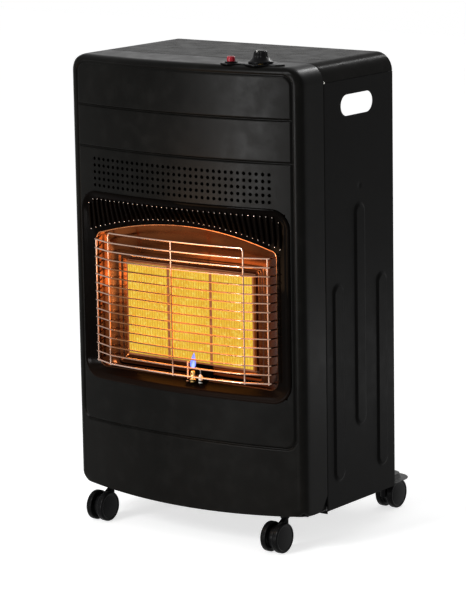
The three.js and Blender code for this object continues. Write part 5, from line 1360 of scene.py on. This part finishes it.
def castor_wheel(name, body, x, y, outward):
    """Twin-castor wheel: tread with two shallow grooves, rounded shoulders, and an outer face whose hub
    domes as 0.9 (1 - (r/17.6)^2), turned about the axle."""
    hub_radius = 17.6
    r = np.linspace(hub_radius, 0, 9)
    hub = np.stack([r, 9.1 + 0.9 * (1 - (r / hub_radius) ** 2)], -1)
    profile = np.concatenate([
        [(0, 8.5), (2.8, 8.5), (2.8, 0), (6.5, 0), (7.0, 0.5), (17.5, 0.6), (18.5, 0.05), (20.6, 0.05), (21.7, 0.35),
         (22.3, 0.95), (22.5, 1.7), (22.5, 2.6), (22.2, 2.9), (22.2, 3.3), (22.5, 3.6), (22.5, 5.9), (22.2, 6.2),
         (22.2, 6.6), (22.5, 6.9), (22.45, 7.7), (22.1, 8.6), (21.3, 9.3), (20.3, 9.6), (19.3, 9.6), (18.6, 9.35),
         (18.1, 8.95)], hub])
    profile = profile * (1, outward)
    wheel = turned(name + "_tyre", profile, (x + outward * WHEEL_FACE, y, WHEEL_RADIUS), "x", 72)
    dress(wheel, BLACK_PLASTIC, body, [name], sharp=40)


def castor_housing(name, body, x, y, way):
    """Castor fork: a web in the wheels' gap, round about the axle and straight up to the neck, with its
    edges rounded, joined to a turned sleeve and neck bored for the stem."""
    arc = np.radians(np.linspace(75, 300, 40))
    round_axle = np.stack([-TRAIL + FORK_ROUND * np.cos(arc), WHEEL_RADIUS + FORK_ROUND * np.sin(arc)], -1)
    web = np.concatenate([round_axle, [(0, 20.5), (0, 48.8)]]) * (-way, 1) + (y, 0)
    housing = prism(name + "_fork", web, x - FORK_HALF, x + FORK_HALF, "x")
    round_edges(housing, 1.2, 3)
    sleeve = turned("sleeve", [
        (0, 20.5), (4.6, 20.5), (5.1, 21.2), (5.1, 45.8), (6.6, 46.8), (6.8, 47.4), (6.8, 51.2), (6.4, 51.8),
        (0, 51.8),
    ], (x, y, 0), sides=48)
    carve(housing, sleeve, "UNION")
    carve(housing, prism("stem_bore", circle(x, y, 3.3, 32), 26.5, 60))
    dress(housing, BLACK_PLASTIC, body, [name], sharp=40)


def castor_stem(name, x, y):
    """Plated stem: a turned pin with its pressed-on flange."""
    profile = [
        (0, 28.5), (2.6, 28.5), (3, 29), (3, 52.7), (8.5, 52.7), (9, 53.1), (9, 54.1), (8.6, 54.5), (3, 54.5),
        (3, 57), (2.6, 57.5), (0, 57.5),
    ]
    stem = turned(name + "_pin", profile, (x, y, 0), sides=48)
    dress(stem, ZINC, stands_for=[name], sharp=40)


def castor(name, x, y, way):
    """One castor: its stem in the cabinet, its fork, and its two wheels behind the stem."""
    castor_stem(name + "_stem", x, y)
    castor_housing(name + "_housing", name, x, y, way)
    for wheel in (name + "_wheel_a", name + "_wheel_b"):
        low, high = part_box(wheel)
        outward = 1 if (low.x + high.x) / 2 > x * MM else -1
        castor_wheel(wheel, wheel, x, y + way * TRAIL, outward)


for end, stem_y, way in (("front", STEM_FRONT, -1), ("back", STEM_BACK, 1)):
    for hand, side in (("left", -1), ("right", 1)):
        castor(f"castor_{end}_{hand}", side * STEM_SIDE, stem_y, way)

# ---------------------------------------------------------------- finishes of the CAD's own solids

NODE_FINISHES = {
    "partition": shade_black_steel(), "heat_deflector": DARK_IRON, "pilot_bracket": DARK_IRON,
    "burner_frame": HOT_IRON, "burner_left": HOT_IRON, "burner_centre": HOT_IRON, "burner_right": HOT_IRON,
}
for node_name, node in nodes.items():
    if node.hide_render or node.type != "MESH":
        continue
    for place in node.material_slots:
        kept = place.material.name.split(".")[0] if place.material else ""
        if kept in SLOT_FINISHES:
            place.material = NODE_FINISHES.get(node_name, SLOT_FINISHES[kept])

# ---------------------------------------------------------------- floor, light and room


def shown_ray(tree):
    """1 for a ray that shows the room as white: one from the camera, or off or through what it meets."""
    path = tree.nodes.new("ShaderNodeLightPath")
    shown = path.outputs["Is Camera Ray"]
    for other in ("Is Glossy Ray", "Is Transmission Ray"):
        either = tree.nodes.new("ShaderNodeMath")
        either.operation = "MAXIMUM"
        tree.links.new(shown, either.inputs[0])
        tree.links.new(path.outputs[other], either.inputs[1])
        shown = either.outputs[0]
    return shown


def ground():
    """Pale floor, a wide level sheet just under the wheels, lifted to white where it is shown."""
    lift = 0.66
    across = np.linspace(-6000, 6000, 25)
    x, y = np.meshgrid(across, across, indexing="ij")
    points = np.stack([x, y, np.full(x.shape, -0.05)], axis=-1)
    floor = facing(mesh_piece("floor_sheet", points, grid_faces(*x.shape)), 0, 0, 1)
    pale = Finish("pale_floor", Roughness=0.9, Emission_Color=(1.0, 1.0, 1.0))
    drift = pale.ramp(pale.noise(1.5, 2.0), 0.3, 0.7, (0.70, 0.70, 0.70), (0.74, 0.74, 0.74))
    glow = pale.math("MULTIPLY", shown_ray(pale.tree), lift)
    pale.set(pale.shader, {"Base_Color": drift, "Emission_Strength": glow})
    floor.data.materials.append(pale.material)


def studio_air():
    """White room: full white where it is shown, and a soft fill of 0.42 on the heater."""
    world = bpy.data.worlds.new("studio")
    bpy.context.scene.world = world
    world.use_nodes = True
    air = world.node_tree
    strength = air.nodes.new("ShaderNodeMapRange")
    strength.inputs["To Min"].default_value = 0.42
    strength.inputs["To Max"].default_value = 1.0
    air.links.new(shown_ray(air), strength.inputs["Value"])
    background = air.nodes["Background"]
    background.inputs["Color"].default_value = (1, 1, 1, 1)
    air.links.new(strength.outputs["Result"], background.inputs["Strength"])


def lamp(name, place, aim, width, height, power, colour=(1, 1, 1), shine_only=False):
    """A soft rectangular lamp, in millimetres from the seam, turned towards what it lights."""
    light = bpy.data.lights.new(name, "AREA")
    light.shape = "RECTANGLE"
    light.size, light.size_y = width * MM, height * MM
    light.energy = power
    light.color = colour
    holder = bpy.data.objects.new(name, light)
    bpy.context.scene.collection.objects.link(holder)
    start, end = placed([place])[0], placed([aim])[0]
    holder.location = start
    holder.rotation_euler = (Vector(end) - Vector(start)).to_track_quat("-Z", "Y").to_euler()
    holder.visible_camera = False
    holder.visible_diffuse = not shine_only


ground()
studio_air()
lamp("key_lamp", (-900, -2900, 2300), (0, 0, 380), 1100, 1100, 42)
lamp("low_lamp", (-900, -3050, 300), (0, 0, 420), 500, 500, 56)
lamp("side_lamp", (640, 900, 30), (205, 60, 130), 300, 150, 0.8, shine_only=True)
lamp("shoulder_lamp", (60, 2080, 1820), (205, 80, 705), 170, 700, 30, shine_only=True)
lamp("glint_lamp", (-500, -3000, 2900), (100, -60, 450), 120, 120, 90, shine_only=True)
lamp("ember_lamp", (-125, -360, 400), (-40, -150, 500), 150, 200, 0.8, (1.0, 0.55, 0.25), shine_only=True)
lamp("burner_glow", (0, -51.5, 332), (0, -300, 332), 230, 130, 0.9, (1.0, 0.33, 0.05))
lamp("back_lamp", (400, 2200, 2400), (0, 100, 600), 2000, 900, 8)

bpy.context.scene.view_settings.view_transform = "Standard"

bpy.context.view_layer.update()
